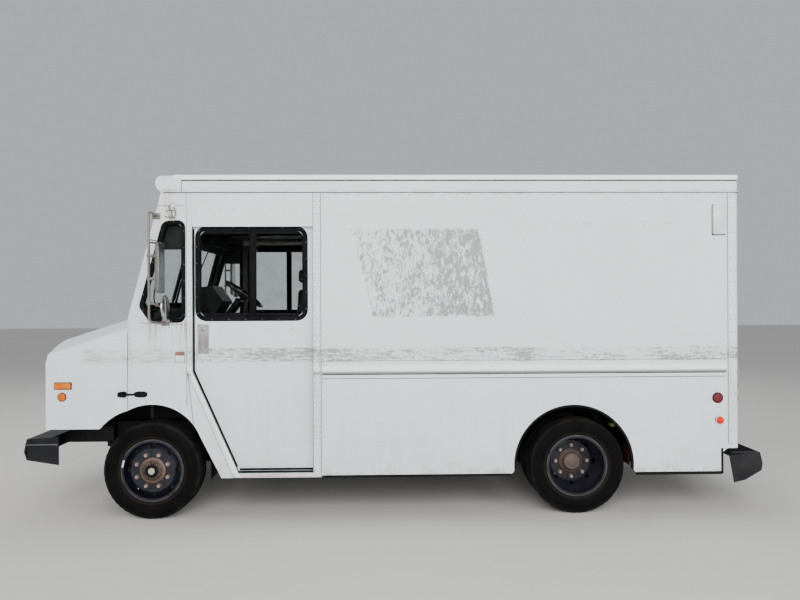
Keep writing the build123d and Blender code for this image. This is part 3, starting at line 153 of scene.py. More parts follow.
# ---- Shader trees ----
class Tree:
    """Short calls for building a shader or group tree."""

    def __init__(self, tree):
        self.tree = tree
        self.nodes = tree.nodes

    def node(self, kind, **settings):
        """Add one shader node with its settings."""
        made = self.nodes.new(kind)
        for key, value in settings.items():
            setattr(made, key, value)
        return made

    def put(self, socket, value):
        """Link a socket to a socket, or set its value."""
        if isinstance(value, bpy.types.NodeSocket):
            self.tree.links.new(value, socket)
        elif isinstance(value, (tuple, list)) and len(value) == 3 and socket.type == "RGBA":
            socket.default_value = (*value, 1.0)
        else:
            socket.default_value = value

    def math(self, operation, a, b=0.0, clamp=False):
        """One Math node's result."""
        made = self.node("ShaderNodeMath", operation=operation, use_clamp=clamp)
        self.put(made.inputs[0], a)
        self.put(made.inputs[1], b)
        return made.outputs[0]

    def fade(self, value, start, end, out_start=0.0, out_end=1.0):
        """Smooth step from one value of an input to another."""
        made = self.node("ShaderNodeMapRange", interpolation_type="SMOOTHSTEP")
        for name, number in (("Value", value), ("From Min", start), ("From Max", end),
                             ("To Min", out_start), ("To Max", out_end)):
            self.put(made.inputs[name], number)
        return made.outputs["Result"]

    def band(self, value, start, end, soft=0.01):
        """One between two values, and nought outside them."""
        rise = self.fade(value, start - soft, start + soft)
        fall = self.fade(value, end - soft, end + soft, 1.0, 0.0)
        return self.math("MULTIPLY", rise, fall)

    def product(self, *factors):
        """All the factors multiplied together."""
        result = factors[0]
        for factor in factors[1:]:
            result = self.math("MULTIPLY", result, factor)
        return result

    def noise(self, vector, scale, detail=3.0, roughness=0.55, distortion=0.0):
        """A noise pattern between 0 and 1."""
        made = self.node("ShaderNodeTexNoise")
        self.put(made.inputs["Vector"], vector)
        for name, number in (("Scale", scale), ("Detail", detail), ("Roughness", roughness),
                             ("Distortion", distortion)):
            self.put(made.inputs[name], number)
        return made.outputs["Fac"]

    def stretch(self, vector, scale, shift=(0.0, 0.0, 0.0)):
        """The vector scaled and shifted."""
        made = self.node("ShaderNodeMapping")
        self.put(made.inputs["Vector"], vector)
        made.inputs["Scale"].default_value = scale
        made.inputs["Location"].default_value = shift
        return made.outputs["Vector"]

    def mix(self, factor, first, second):
        """Two colours mixed by a factor."""
        made = self.node("ShaderNodeMix", data_type="RGBA")
        self.put(made.inputs[0], factor)
        self.put(made.inputs[6], first)
        self.put(made.inputs[7], second)
        return made.outputs[2]

    def place(self):
        """Object coordinates, whole and in parts."""
        coordinates = self.node("ShaderNodeTexCoord").outputs["Object"]
        parts = self.node("ShaderNodeSeparateXYZ")
        self.put(parts.inputs[0], coordinates)
        return coordinates, parts.outputs["X"], parts.outputs["Y"], parts.outputs["Z"]

    def bump(self, height, strength, distance):
        """A normal from a height."""
        made = self.node("ShaderNodeBump")
        self.put(made.inputs["Height"], height)
        made.inputs["Strength"].default_value = strength
        made.inputs["Distance"].default_value = distance
        return made.outputs["Normal"]


def new_material(name, **constants):
    """An empty principled material: its tree and its shader node, with constants on the shader's own sockets."""
    material = bpy.data.materials.new(name)
    material.use_nodes = True
    tree = Tree(material.node_tree)
    shader = material.node_tree.nodes["Principled BSDF"]
    for key, value in constants.items():
        tree.put(shader.inputs[key.replace("_", " ")], value)
    return material, tree, shader


def new_group(name, inputs, outputs):
    """A shader node group with named sockets."""
    group = bpy.data.node_groups.new(name, "ShaderNodeTree")
    for label, kind, default in inputs:
        socket = group.interface.new_socket(label, in_out="INPUT", socket_type=f"NodeSocket{kind}")
        socket.default_value = default
    for label, kind in outputs:
        group.interface.new_socket(label, in_out="OUTPUT", socket_type=f"NodeSocket{kind}")
    tree = Tree(group)
    return group, tree, tree.node("NodeGroupInput").outputs, tree.node("NodeGroupOutput").inputs


def use_group(tree, group, **values):
    """Place a group in a tree with its own values; returns its outputs."""
    made = tree.node("ShaderNodeGroup")
    made.node_tree = group
    for key, value in values.items():
        tree.put(made.inputs[key.replace("_", " ")], value)
    return made.outputs


def make_grime_group():
    """Road dirt: heavier low down, with runs and specks. Gives the dirty colour, the dirt mask and a height."""
    group, tree, given, result = new_group(
        "Road grime",
        (("Color", "Color", (0.8, 0.8, 0.8, 1.0)), ("Dirt", "Color", (0.16, 0.13, 0.10, 1.0)),
         ("Amount", "Float", 0.5), ("Low", "Float", 0.35), ("High", "Float", 1.3)),
        (("Color", "Color"), ("Mask", "Float"), ("Height", "Float")))
    at, _, _, z = tree.place()
    runs = tree.noise(tree.stretch(at, (14.0, 14.0, 1.1)), 1.0, 4.0, 0.6)
    cloud = tree.noise(at, 2.3, 5.0, 0.62)
    specks = tree.noise(at, 75.0, 2.0, 0.5)
    height_fade = tree.fade(z, given["Low"], given["High"], 1.0, 0.16)
    run_mask = tree.fade(runs, 0.42, 0.78)
    cloud_mask = tree.fade(cloud, 0.40, 0.75)
    speck_mask = tree.fade(specks, 0.63, 0.72)
    both = tree.math("MAXIMUM", run_mask, cloud_mask)
    with_specks = tree.math("ADD", tree.math("MULTIPLY", both, 0.75), tree.math("MULTIPLY", speck_mask, 0.35))
    mask = tree.math("MULTIPLY", tree.product(with_specks, height_fade), given["Amount"], clamp=True)
    tree.put(result["Color"], tree.mix(mask, given["Color"], given["Dirt"]))
    tree.put(result["Mask"], mask)
    tree.put(result["Height"],
             tree.math("ADD", tree.math("MULTIPLY", cloud, 0.6), tree.math("MULTIPLY", specks, 0.4)))
    return group


def make_rust_group():
    """Patchy rust over a colour. Gives the colour, the rust mask and a height."""
    group, tree, given, result = new_group(
        "Rust patches",
        (("Color", "Color", (0.1, 0.1, 0.1, 1.0)), ("Amount", "Float", 0.5), ("Scale", "Float", 14.0)),
        (("Color", "Color"), ("Mask", "Float"), ("Height", "Float")))
    at, _, _, _ = tree.place()
    coarse = tree.noise(at, given["Scale"], 6.0, 0.68, 0.4)
    fine = tree.noise(at, 140.0, 3.0, 0.6)
    edge = tree.math("SUBTRACT", 0.78, tree.math("MULTIPLY", given["Amount"], 0.5))
    top = tree.math("ADD", edge, 0.14)
    mask = tree.fade(tree.math("ADD", coarse, tree.math("MULTIPLY", fine, 0.12)), edge, top)
    tone = tree.mix(tree.fade(fine, 0.35, 0.65), (0.085, 0.032, 0.014), (0.26, 0.115, 0.048))
    tree.put(result["Color"], tree.mix(mask, given["Color"], tone))
    tree.put(result["Mask"], mask)
    tree.put(result["Height"], tree.math("ADD", fine, mask))
    return group


groups = {}
materials = {}


def outside_mask(tree, centre):
    """One where a panel faces away from a point inside the van, and nought where it faces in."""
    made = tree.node("ShaderNodeTexCoord")
    away = tree.node("ShaderNodeVectorMath", operation="SUBTRACT")
    tree.put(away.inputs[0], made.outputs["Object"])
    away.inputs[1].default_value = centre
    facing = tree.node("ShaderNodeVectorMath", operation="DOT_PRODUCT")
    tree.put(facing.inputs[0], made.outputs["Normal"])
    tree.put(facing.inputs[1], away.outputs[0])
    return tree.fade(facing.outputs["Value"], -0.02, 0.02)


def stain(tree, x, z, runs, x_low, x_high, z_low, z_high, soft=0.05):
    """A rusty run that hangs down from a height."""
    across = tree.band(x, x_low, x_high, soft * 0.6)
    drop = tree.fade(z, z_low, z_high, 0.0, 1.0)
    top = tree.fade(z, z_high, z_high + 0.012, 1.0, 0.0)
    return tree.product(across, drop, top, tree.fade(runs, 0.44, 0.66))


def make_body_paint(name, centre, marks=True):
    """Chalky white enamel outside with old decal marks and rust runs, and the cab or cargo lining inside."""
    settings = finish_settings()
    material, tree, shader = new_material(name, Specular_IOR_Level=0.42)
    at, x, y, z = tree.place()
    side = tree.fade(tree.math("ABSOLUTE", y), 1.05, 1.10)
    paint = tuple(settings.paint)
    tone = tree.noise(tree.stretch(at, (0.9, 0.9, 1.4)), 1.0, 4.0, 0.6)
    colour = tree.mix(tree.fade(tone, 0.35, 0.70), paint, tuple(c * 0.945 for c in paint))
    speckle = tree.noise(at, 34.0, 4.0, 0.72, 0.3)
    coarse = tree.noise(at, 7.0, 4.0, 0.65)
    if marks:
        # Residue of the waist stripe: dull grey speckle in a level band, patchy along the van.
        edge = tree.math("ADD", z, tree.math("MULTIPLY", tree.math("SUBTRACT", coarse, 0.5), 0.035))
        stripe = tree.band(edge, 1.306, 1.420, 0.006)
        patchy = tree.noise(tree.stretch(at, (2.2, 2.2, 5.0), (3.1, 0.0, 0.7)), 1.0, 3.0, 0.6)
        streaks = tree.noise(tree.stretch(at, (9.0, 9.0, 70.0), (0.0, 0.0, 2.1)), 1.0, 5.0, 0.75, 0.5)
        near_post = tree.fade(x, 0.10, 0.55, 0.0, 0.020)
        level = tree.math("ADD", tree.math("ADD", streaks, near_post),
                          tree.math("MULTIPLY", tree.math("SUBTRACT", patchy, 0.5), 0.55))
        bits = tree.fade(tree.math("ADD", level, tree.math("MULTIPLY", speckle, 0.50)), 0.72, 0.86)
        ahead = tree.fade(x, 2.66, 2.56, 0.0, 1.0)
        stripe_mask = tree.product(stripe, side, bits, ahead)
        stripe_tone = tree.mix(tree.fade(x, 1.70, 1.80), (0.235, 0.250, 0.240), (0.290, 0.255, 0.220))
        colour = tree.mix(tree.math("MULTIPLY", stripe_mask, tree.fade(x, 1.60, 1.80, 0.88, 0.50)), colour,
                          stripe_tone)
        veil = tree.product(stripe, side, ahead, 0.10)
        colour = tree.mix(veil, colour, (0.40, 0.40, 0.37))
        # Residue of a large slanted decal high on the cargo side.
        wobble = tree.math("MULTIPLY", tree.math("SUBTRACT", tree.noise(at, 11.0, 3.0, 0.6), 0.5), 0.05)
        lean_front = tree.math("SUBTRACT", x, tree.math("MULTIPLY", tree.math("SUBTRACT", z, 1.676), 0.2365))
        lean_rear = tree.math("SUBTRACT", x, tree.math("MULTIPLY", tree.math("SUBTRACT", z, 1.676), 0.187))
        front_edge = tree.fade(tree.math("ADD", lean_front, wobble), 0.214, 0.224, 1.0, 0.0)
        rear_edge = tree.fade(tree.math("ADD", lean_rear, wobble), -0.806, -0.796)
        tall = tree.band(tree.math("ADD", z, wobble), 1.680, 2.408, 0.008)
        slanted = tree.stretch(at, (40.0, 40.0, 17.0))
        flakes = tree.noise(slanted, 1.0, 5.0, 0.78, 0.8)
        more_behind = tree.fade(x, 0.35, -0.75, 0.455, 0.375)
        lumps = tree.math("MULTIPLY", tree.math("SUBTRACT", coarse, 0.5), 0.28)
        flake_value = tree.math("ADD", flakes, lumps)
        flake_mask = tree.fade(tree.math("SUBTRACT", flake_value, more_behind), 0.045, 0.115)
        patch = tree.product(front_edge, rear_edge, tall, side)
        colour = tree.mix(tree.product(patch, flake_mask, 0.95), colour, (0.225, 0.245, 0.245))
        colour = tree.mix(tree.math("MULTIPLY", patch, 0.07), colour, (0.42, 0.43, 0.41))
        # Faint ghosts of peeled film high at the rear, and a patchy darker band just under the roof edge.
        ghost = tree.product(tree.band(x, -2.50, -1.02, 0.02), tree.band(z, 2.405, 2.475, 0.01), side,
                             tree.fade(tree.noise(tree.stretch(at, (26.0, 26.0, 40.0)), 1.0, 3.0, 0.6),
                                       0.54, 0.60))
        colour = tree.mix(tree.math("MULTIPLY", ghost, 0.20), colour, (0.36, 0.38, 0.38))
        under_roof_band = tree.product(tree.band(z, 2.700, 2.742, 0.008), side, tree.fade(coarse, 0.44, 0.62))
        colour = tree.mix(tree.math("MULTIPLY", under_roof_band, 0.34), colour, (0.33, 0.33, 0.30))
    # Painted light on the rub rail: its top is painted bright as a highlight and its underside dark as shade.
    rail = tree.math("MULTIPLY", tree.fade(tree.math("ABSOLUTE", y), SIDE_Y + 0.0012, SIDE_Y + 0.0030),
                     tree.band(z, 1.200, 1.290, 0.002))
    rail_light_and_shade = tree.mix(tree.fade(z, 1.208, 1.236), (0.200, 0.195, 0.185), (0.93, 0.94, 0.95))
    colour = tree.mix(rail, colour, rail_light_and_shade)
    # Rust that runs from fastenings, seams and the front pillar.
    runs = tree.noise(tree.stretch(at, (46.0, 46.0, 2.4)), 1.0, 4.0, 0.62)
    stains = stain(tree, x, z, runs, 1.76, 2.08, 1.36, 1.655)
    for spot in ((1.86, 2.03, 2.38, 2.64), (1.955, 2.06, 1.30, 1.60), (2.20, 2.26, 0.95, 1.66),
                 (1.72, 1.77, 0.9, 1.62),
                 (0.64, 0.72, 0.4, 1.35), (-2.84, -2.76, 0.62, 1.2), (1.80, 1.95, 2.50, 2.74)):
        stains = tree.math("MAXIMUM", stains, tree.math("MULTIPLY", stain(tree, x, z, runs, *spot), 0.62))
    smudge = tree.product(tree.band(x, 1.845, 1.925, 0.035), tree.band(z, 2.470, 2.625, 0.045),
                          tree.fade(speckle, 0.42, 0.56))
    stains = tree.math("MAXIMUM", stains, tree.math("MULTIPLY", smudge, 1.1))
    low_edge = tree.product(tree.fade(z, 0.36, 0.52, 1.0, 0.0), tree.fade(coarse, 0.50, 0.66))
    rust = tree.math("MAXIMUM", tree.math("MULTIPLY", stains, 0.80, clamp=True),
                     tree.math("MULTIPLY", low_edge, 0.45))
    chip = tree.fade(tree.noise(at, 52.0, 3.0, 0.6), 0.735, 0.765)
    rust = tree.math("MAXIMUM", rust, tree.math("MULTIPLY", chip, 0.55))
    rust_tone = tree.mix(tree.fade(speckle, 0.4, 0.62), (0.17, 0.075, 0.032), (0.36, 0.22, 0.13))
    colour = tree.mix(rust, colour, rust_tone)
    grime = use_group(tree, groups["grime"], Color=colour, Dirt=(0.34, 0.33, 0.30, 1.0),
                      Amount=settings.grime * 0.50)
    lining_tone = tree.mix(tree.fade(coarse, 0.4, 0.7), tuple(settings.lining),
                           tuple(c * 1.7 for c in settings.lining))
    outside = outside_mask(tree, centre)
    hidden = tree.math("MULTIPLY", tree.fade(tree.math("ABSOLUTE", y), 1.07, 1.09, 1.0, 0.0),
                       tree.fade(z, 1.30, 1.34, 1.0, 0.0))
    firewall = tree.math("MULTIPLY", hidden, tree.fade(x, 0.2, 0.3))
    shown = tree.mix(firewall, grime["Color"], (0.0020, 0.0020, 0.0022))
    tree.put(shader.inputs["Base Color"], tree.mix(outside, lining_tone, shown))
    rough = tree.math("ADD", 0.34, tree.math("MULTIPLY", tree.math("MAXIMUM", grime["Mask"], rust), 0.5))
    tree.put(shader.inputs["Roughness"], tree.math("ADD", rough, tree.math("MULTIPLY", speckle, 0.08)))
    tin = tree.noise(tree.stretch(at, (1.6, 1.6, 1.1), (0.4, 0.0, 0.2)), 1.0, 2.0, 0.4)
    height = tree.math("ADD", tree.math("MULTIPLY", tin, 1.0), tree.math("MULTIPLY", rust, 0.02))
    tree.put(shader.inputs["Normal"], tree.bump(height, 0.35, 0.02))
    materials[name] = material
    return material


def make_floor(name, centre):
    """Worn metal on the side that faces into the van, and black underseal outside."""
    material, tree, shader = new_material(name, Specular_IOR_Level=0.25)
    at, _, _, _ = tree.place()
    wear = tree.noise(at, 6.0, 5.0, 0.65)
    fine = tree.noise(at, 90.0, 3.0, 0.6)
    metal = tree.mix(tree.fade(wear, 0.35, 0.7), (0.22, 0.23, 0.23), (0.10, 0.095, 0.085))
    seal = tree.mix(tree.fade(fine, 0.4, 0.7), (0.0020, 0.0020, 0.0022), (0.0055, 0.0048, 0.0045))
    outside = outside_mask(tree, centre)
    tree.put(shader.inputs["Base Color"], tree.mix(outside, metal, seal))
    inward = tree.math("SUBTRACT", 1.0, outside)
    tree.put(shader.inputs["Metallic"], tree.math("MULTIPLY", inward, 0.6))
    tree.put(shader.inputs["Roughness"], tree.math("ADD", tree.math("MULTIPLY", wear, 0.3),
                                                   tree.math("ADD", 0.35,
                                                             tree.math("MULTIPLY", outside, 0.3))))
    tree.put(shader.inputs["Normal"], tree.bump(fine, 0.3, 0.003))
    materials[name] = material
    return material


def make_plain(name, colour, rough, metal=0.0, dirt=0.4, rust=0.0, bump=0.15, grain=120.0, low_z=0.2,
               high_z=1.2,
               **constants):
    """A painted, moulded or bare surface with grime, optional rust and a fine grain."""
    material, tree, shader = new_material(name, **constants)
    at, _, _, _ = tree.place()
    shade = tree.noise(at, 5.0, 4.0, 0.6)
    fine = tree.noise(at, grain, 3.0, 0.6)
    base = tree.mix(tree.fade(shade, 0.35, 0.7), colour, tuple(min(1.0, c * 1.35 + 0.004) for c in colour))
    height = fine
    metal_value = metal
    if rust:
        rusty = use_group(tree, groups["rust"], Color=base, Amount=rust)
        base = rusty["Color"]
        height = tree.math("ADD", fine, tree.math("MULTIPLY", rusty["Height"], 0.6))
        if metal:
            metal_value = tree.math("MULTIPLY", tree.math("SUBTRACT", 1.0, rusty["Mask"]), metal)
    grime = use_group(tree, groups["grime"], Color=base, Dirt=(0.115, 0.098, 0.080, 1.0), Amount=dirt,
                      Low=low_z,
                      High=high_z)
    tree.put(shader.inputs["Base Color"], grime["Color"])
    tree.put(shader.inputs["Metallic"], metal_value)
    spread = tree.math("MULTIPLY", tree.math("SUBTRACT", shade, 0.5), 0.22)
    rough_value = tree.math("ADD", tree.math("ADD", rough, spread),
                            tree.math("MULTIPLY", grime["Mask"], 0.35))
    tree.put(shader.inputs["Roughness"], tree.math("MINIMUM", rough_value, 0.98))
    tree.put(shader.inputs["Normal"], tree.bump(height, bump, 0.004))
    materials[name] = material
    return material


def wheel_radius(tree, axle_x):
    """Distance from a wheel's axis."""
    _, x, _, z = tree.place()
    dx = tree.math("SUBTRACT", x, axle_x)
    dz = tree.math("SUBTRACT", z, WHEEL_Z)
    total = tree.math("ADD", tree.math("MULTIPLY", dx, dx), tree.math("MULTIPLY", dz, dz))
    return tree.math("SQRT", total)


def make_tyre_rubber(name, axle_x):
    """Weathered tyre: dusty tread, dull sidewall with faint rings."""
    material, tree, shader = new_material(name, Specular_IOR_Level=0.07)
    at, _, _, _ = tree.place()
    radius = wheel_radius(tree, axle_x)
    cloud = tree.noise(at, 9.0, 5.0, 0.65)
    fine = tree.noise(at, 170.0, 3.0, 0.6)
    rubber = tree.mix(tree.fade(cloud, 0.35, 0.7), (0.0022, 0.0022, 0.0023), (0.0050, 0.0048, 0.0047))
    dust = tree.math("MULTIPLY", tree.fade(radius, 0.368, 0.398), tree.fade(cloud, 0.30, 0.60))
    rubber = tree.mix(tree.math("MULTIPLY", dust, 0.40), rubber, (0.030, 0.027, 0.024))
    bead = tree.band(radius, 0.258, 0.285, 0.008)
    rubber = tree.mix(tree.math("MULTIPLY", bead, 0.40), rubber, (0.026, 0.020, 0.017))
    tree.put(shader.inputs["Base Color"], rubber)
    tree.put(shader.inputs["Roughness"], tree.math("ADD", 0.62, tree.math("MULTIPLY", cloud, 0.28)))
    rings = tree.math("SINE", tree.math("MULTIPLY", radius, 900.0))
    height = tree.math("ADD", fine, tree.math("MULTIPLY", rings, 0.12))
    tree.put(shader.inputs["Normal"], tree.bump(height, 0.22, 0.003))
    materials[name] = material
    return material


def make_wheel_paint(name, axle_x):
    """Dark disc paint with a painted highlight on the rim lip and a rusty hub."""
    settings = finish_settings()
    material, tree, shader = new_material(name, Specular_IOR_Level=0.34)
    at, _, _, _ = tree.place()
    radius = wheel_radius(tree, axle_x)
    paint = tuple(settings.wheel)
    cloud = tree.noise(at, 16.0, 4.0, 0.62)
    base = tree.mix(tree.fade(cloud, 0.4, 0.7), paint, tuple(c * 2.2 for c in paint))
    base = use_group(tree, groups["rust"], Color=base, Amount=0.13, Scale=22.0)["Color"]
    # Painted highlight: a paler, patchy band on the rim lip.
    lip = tree.product(tree.fade(radius, 0.2505, 0.2535), tree.fade(cloud, 0.30, 0.55))
    base = tree.mix(tree.math("MULTIPLY", lip, 0.42), base, (0.115, 0.105, 0.095))
    hub = tree.fade(radius, 0.088, 0.080)
    rusty = tree.mix(tree.fade(tree.noise(at, 60.0, 4.0, 0.65), 0.36, 0.66), (0.020, 0.0125, 0.0095),
                     (0.105, 0.064, 0.044))
    base = tree.mix(tree.math("MULTIPLY", hub, 0.92), base, rusty)
    grime = use_group(tree, groups["grime"], Color=base, Dirt=(0.040, 0.034, 0.029, 1.0), Amount=0.26,
                      Low=0.1, High=0.9)
    tree.put(shader.inputs["Base Color"], grime["Color"])
    tree.put(shader.inputs["Roughness"], tree.math("ADD", 0.30, tree.math("MULTIPLY", cloud, 0.32)))
    tree.put(shader.inputs["Normal"], tree.bump(tree.noise(at, 90.0, 4.0, 0.6), 0.2, 0.003))
    materials[name] = material
    return material


def make_glass(name, tint, alpha_rough=0.03):
    """Flat window glass with a faint tint and dusty roughness."""
    material, tree, shader = new_material(name, Transmission_Weight=1.0, IOR=1.02, Metallic=0.0)
    at, _, _, _ = tree.place()
    film = tree.noise(at, 6.0, 4.0, 0.6)
    dusty = tuple(c * 0.90 for c in tint)
    tree.put(shader.inputs["Base Color"], tree.mix(tree.fade(film, 0.45, 0.75), tint, dusty))
    tree.put(shader.inputs["Roughness"], tree.math("MULTIPLY", film, alpha_rough))
    materials[name] = material
    return material


def make_lens(name, colour, deep):
    """Moulded lamp lens with fine flutes."""
    material, tree, shader = new_material(name, Coat_Weight=0.10, Coat_Roughness=0.12,
                                          Specular_IOR_Level=0.22)
    at, _, _, _ = tree.place()
    flutes = tree.node("ShaderNodeTexWave", wave_type="BANDS", bands_direction="Z")
    tree.put(flutes.inputs["Vector"], at)
    flutes.inputs["Scale"].default_value = 60.0
    cloud = tree.noise(at, 30.0, 3.0, 0.6)
    tree.put(shader.inputs["Base Color"], tree.mix(tree.fade(cloud, 0.35, 0.7), colour, deep))
    tree.put(shader.inputs["Roughness"], tree.math("ADD", 0.18, tree.math("MULTIPLY", cloud, 0.2)))
    tree.put(shader.inputs["Normal"], tree.bump(flutes.outputs["Fac"], 0.3, 0.002))
    materials[name] = material
    return material


def make_cloth(name, colour):
    """Grained vinyl for the seat."""
    material, tree, shader = new_material(name, Sheen_Weight=0.15, Specular_IOR_Level=0.35)
    at, _, _, _ = tree.place()
    grain = tree.node("ShaderNodeTexVoronoi", feature="DISTANCE_TO_EDGE")
    tree.put(grain.inputs["Vector"], at)
    grain.inputs["Scale"].default_value = 260.0
    wear = tree.noise(at, 8.0, 4.0, 0.6)
    tree.put(shader.inputs["Base Color"],
             tree.mix(tree.fade(wear, 0.4, 0.7), colour, tuple(c * 1.8 + 0.006 for c in colour)))
    tree.put(shader.inputs["Roughness"], tree.math("ADD", 0.48, tree.math("MULTIPLY", wear, 0.3)))
    tree.put(shader.inputs["Normal"], tree.bump(grain.outputs["Distance"], 0.25, 0.002))
    materials[name] = material
    return material


# ---- Mesh building ----
class Shape:
    """One piece, gathered from parts that each have a material."""

    def __init__(self, name):
        self.name = name
        self.mesh = bmesh.new()
        self.slots = []

    def slot_of(self, material):
        """Index of the material in this piece, added when new."""
        if material not in self.slots:
            self.slots.append(material)
        return self.slots.index(material)

    def add(self, points, faces, material, smooth=True):
        """Add points and faces in one material."""
        made = [self.mesh.verts.new(p) for p in points]
        index = self.slot_of(material)
        for face in faces:
            if len(set(face)) > 2:
                new = self.mesh.faces.new([made[i] for i in face])
                new.material_index = index
                new.smooth = smooth
        return made

    def box(self, lo, hi, material, bevel=0.004, segments=2):
        """A block with rounded edges."""
        part = bmesh.new()
        bmesh.ops.create_cube(part, size=1.0)
        size = [b - a for a, b in zip(lo, hi)]
        middle = [(a + b) / 2 for a, b in zip(lo, hi)]
        bmesh.ops.transform(part, matrix=Matrix.Translation(middle) @ Matrix.Diagonal((*size, 1.0)),
                            verts=part.verts)
        width = min(bevel, 0.45 * min(size))
        bmesh.ops.bevel(part, geom=part.edges[:], offset=width, segments=segments, profile=0.5,
                        affect="EDGES")
        self.take(part, material)

    def take(self, part, material):
        """Copy another bmesh's faces in, and free it."""
        part.verts.index_update()
        self.add([v.co.copy() for v in part.verts], [[v.index for v in f.verts] for f in part.faces],
                 material)
        part.free()

    def plate(self, outline, place, depth, material, bevel=0.0015):
        """A flat panel: an outline of (u, v) points, raised from height 0 to depth, with a small edge break."""
        count = len(outline)
        centre = [sum(p[k] for p in outline) / count for k in (0, 1)]
        edge = min(bevel, depth * 0.6)
        drawn = []
        for u, v in outline:
            reach = math.hypot(u - centre[0], v - centre[1]) or 1.0
            scale = max(0.0, 1.0 - 1.4 * edge / reach)
            drawn.append((centre[0] + (u - centre[0]) * scale, centre[1] + (v - centre[1]) * scale))
        rows = [[place(u, v, 0.0) for u, v in outline], [place(u, v, depth - edge) for u, v in outline],
                [place(u, v, depth) for u, v in drawn]]
        points = [p for row in rows for p in row]
        faces = [list(range(count)), list(range(2 * count, 3 * count))]
        for r in range(2):
            for i in range(count):
                j = (i + 1) % count
                faces.append([r * count + i, r * count + j, (r + 1) * count + j, (r + 1) * count + i])
        self.add(points, faces, material, smooth=False)

    def ring(self, outline, place, section, material):
        """A moulding round a closed outline; section holds (outward, height) points of its closed profile."""
        count = len(outline)
        points = []
        for i, (u, v) in enumerate(outline):
            before, after = outline[i - 1], outline[(i + 1) % count]
            tangent = Vector((after[0] - before[0], after[1] - before[1])).normalized()
            out = (tangent.y, -tangent.x)
            points += [place(u + out[0] * a, v + out[1] * a, h) for a, h in section]
        size = len(section)
        faces = []
        for i in range(count):
            j = (i + 1) % count
            for k in range(size):
                m = (k + 1) % size
                faces.append([i * size + k, j * size + k, j * size + m, i * size + m])
        self.add(points, faces, material)

    def tube(self, path, radius, material, sides=10, closed=False):
        """A round tube along points, with capped ends."""
        path = [Vector(p) for p in path]
        count = len(path)
        points = []
        up = None
        for i, p in enumerate(path):
            before = path[i - 1] if (i > 0 or closed) else p
            after = path[(i + 1) % count] if (i < count - 1 or closed) else p
            tangent = (after - before).normalized()
            if up is None:
                up = tangent.orthogonal().normalized()
            up = (up - tangent * up.dot(tangent)).normalized()
            other = tangent.cross(up)
            for k in range(sides):
                turn = 2 * math.pi * k / sides
                points.append(p + (up * math.cos(turn) + other * math.sin(turn)) * radius)
        faces = []
        for i in range(count if closed else count - 1):
            j = (i + 1) % count
            for k in range(sides):
                m = (k + 1) % sides
                faces.append([i * sides + k, i * sides + m, j * sides + m, j * sides + k])
        if not closed:
            faces += [list(range(sides)), list(range((count - 1) * sides, count * sides))]
        self.add(points, faces, material)

    def turned(self, profile, centre, material, axis="Y", steps=32, closed=False):
        """A turned form: profile holds (along, radius) points about an axis through centre."""
        points = []
        for along, radius in profile:
            for k in range(steps):
                turn = 2 * math.pi * k / steps
                c, s = radius * math.cos(turn), radius * math.sin(turn)
                offset = {"X": (along, c, s), "Y": (c, along, s), "Z": (c, s, along)}[axis]
                points.append(Vector(centre) + Vector(offset))
        rows = len(profile)
        faces = []
        for r in range(rows if closed else rows - 1):
            n = (r + 1) % rows
            for k in range(steps):
                m = (k + 1) % steps
                faces.append([r * steps + k, r * steps + m, n * steps + m, n * steps + k])
        if not closed:
            faces += [list(range(steps)), list(range((rows - 1) * steps, rows * steps))]
        self.add(points, faces, material)

    def finish(self, body, slot, angle=35.0, mirror=False):
        """Close the piece: mend normals, mark sharp edges, name its body; slot is not used."""
        if mirror:
            geometry = self.mesh.verts[:] + self.mesh.edges[:] + self.mesh.faces[:]
            copied = bmesh.ops.duplicate(self.mesh, geom=geometry)["geom"]
            for v in copied:
                if isinstance(v, bmesh.types.BMVert):
                    v.co.y = -v.co.y
        bmesh.ops.remove_doubles(self.mesh, verts=self.mesh.verts, dist=0.00002)
        bmesh.ops.recalc_face_normals(self.mesh, faces=self.mesh.faces)
        data = bpy.data.meshes.new(self.name)
        self.mesh.to_mesh(data)
        self.mesh.free()
        for material in self.slots:
            data.materials.append(materials[material])
        data.set_sharp_from_angle(angle=math.radians(angle))
        piece = bpy.data.objects.new(self.name, data)
        bpy.context.scene.collection.objects.link(piece)
        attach(piece, body)
        return piece


def side_place(y_face, side=1):
    """Places (x, z, height) on the outer face of a side wall."""
    return lambda u, v, h: Vector((u, side * (y_face + h), v))


def rear_place(x_face):
    """Places (y, z, height) on a face that looks back."""
    return lambda u, v, h: Vector((x_face - h, u, v))


def front_place(x_face):
    """Places (y, z, height) on a face that looks ahead."""
    return lambda u, v, h: Vector((x_face + h, u, v))


def shield_place(offset=0.0):
    """Places (y, z, height) on the sloping, slightly vee'd windshield surround."""
    return lambda u, v, h: Vector((pillar_x(v) + 0.030 * (1 - abs(u) / INNER_Y) + offset + h, u, v))


def rounded(corners, radius, steps=6):
    """A closed outline with rounded corners, anticlockwise."""
    count = len(corners)
    points = []
    for i in range(count):
        corner = Vector(corners[i])
        before = (Vector(corners[i - 1]) - corner).normalized()
        after = (Vector(corners[(i + 1) % count]) - corner).normalized()
        half = before.angle(after) / 2
        reach = radius / math.tan(half)
        start, end = corner + before * reach, corner + after * reach
        for k in range(steps + 1):
            t = k / steps
            points.append(tuple((1 - t) ** 2 * start + 2 * t * (1 - t) * corner + t * t * end))
    area = sum(points[i - 1][0] * points[i][1] - points[i][0] * points[i - 1][1] for i in range(len(points)))
    return points if area > 0 else points[::-1]


def rectangle(u0, v0, u1, v1):
    """Corner points of an upright rectangle."""
    return [(u0, v0), (u1, v0), (u1, v1), (u0, v1)]


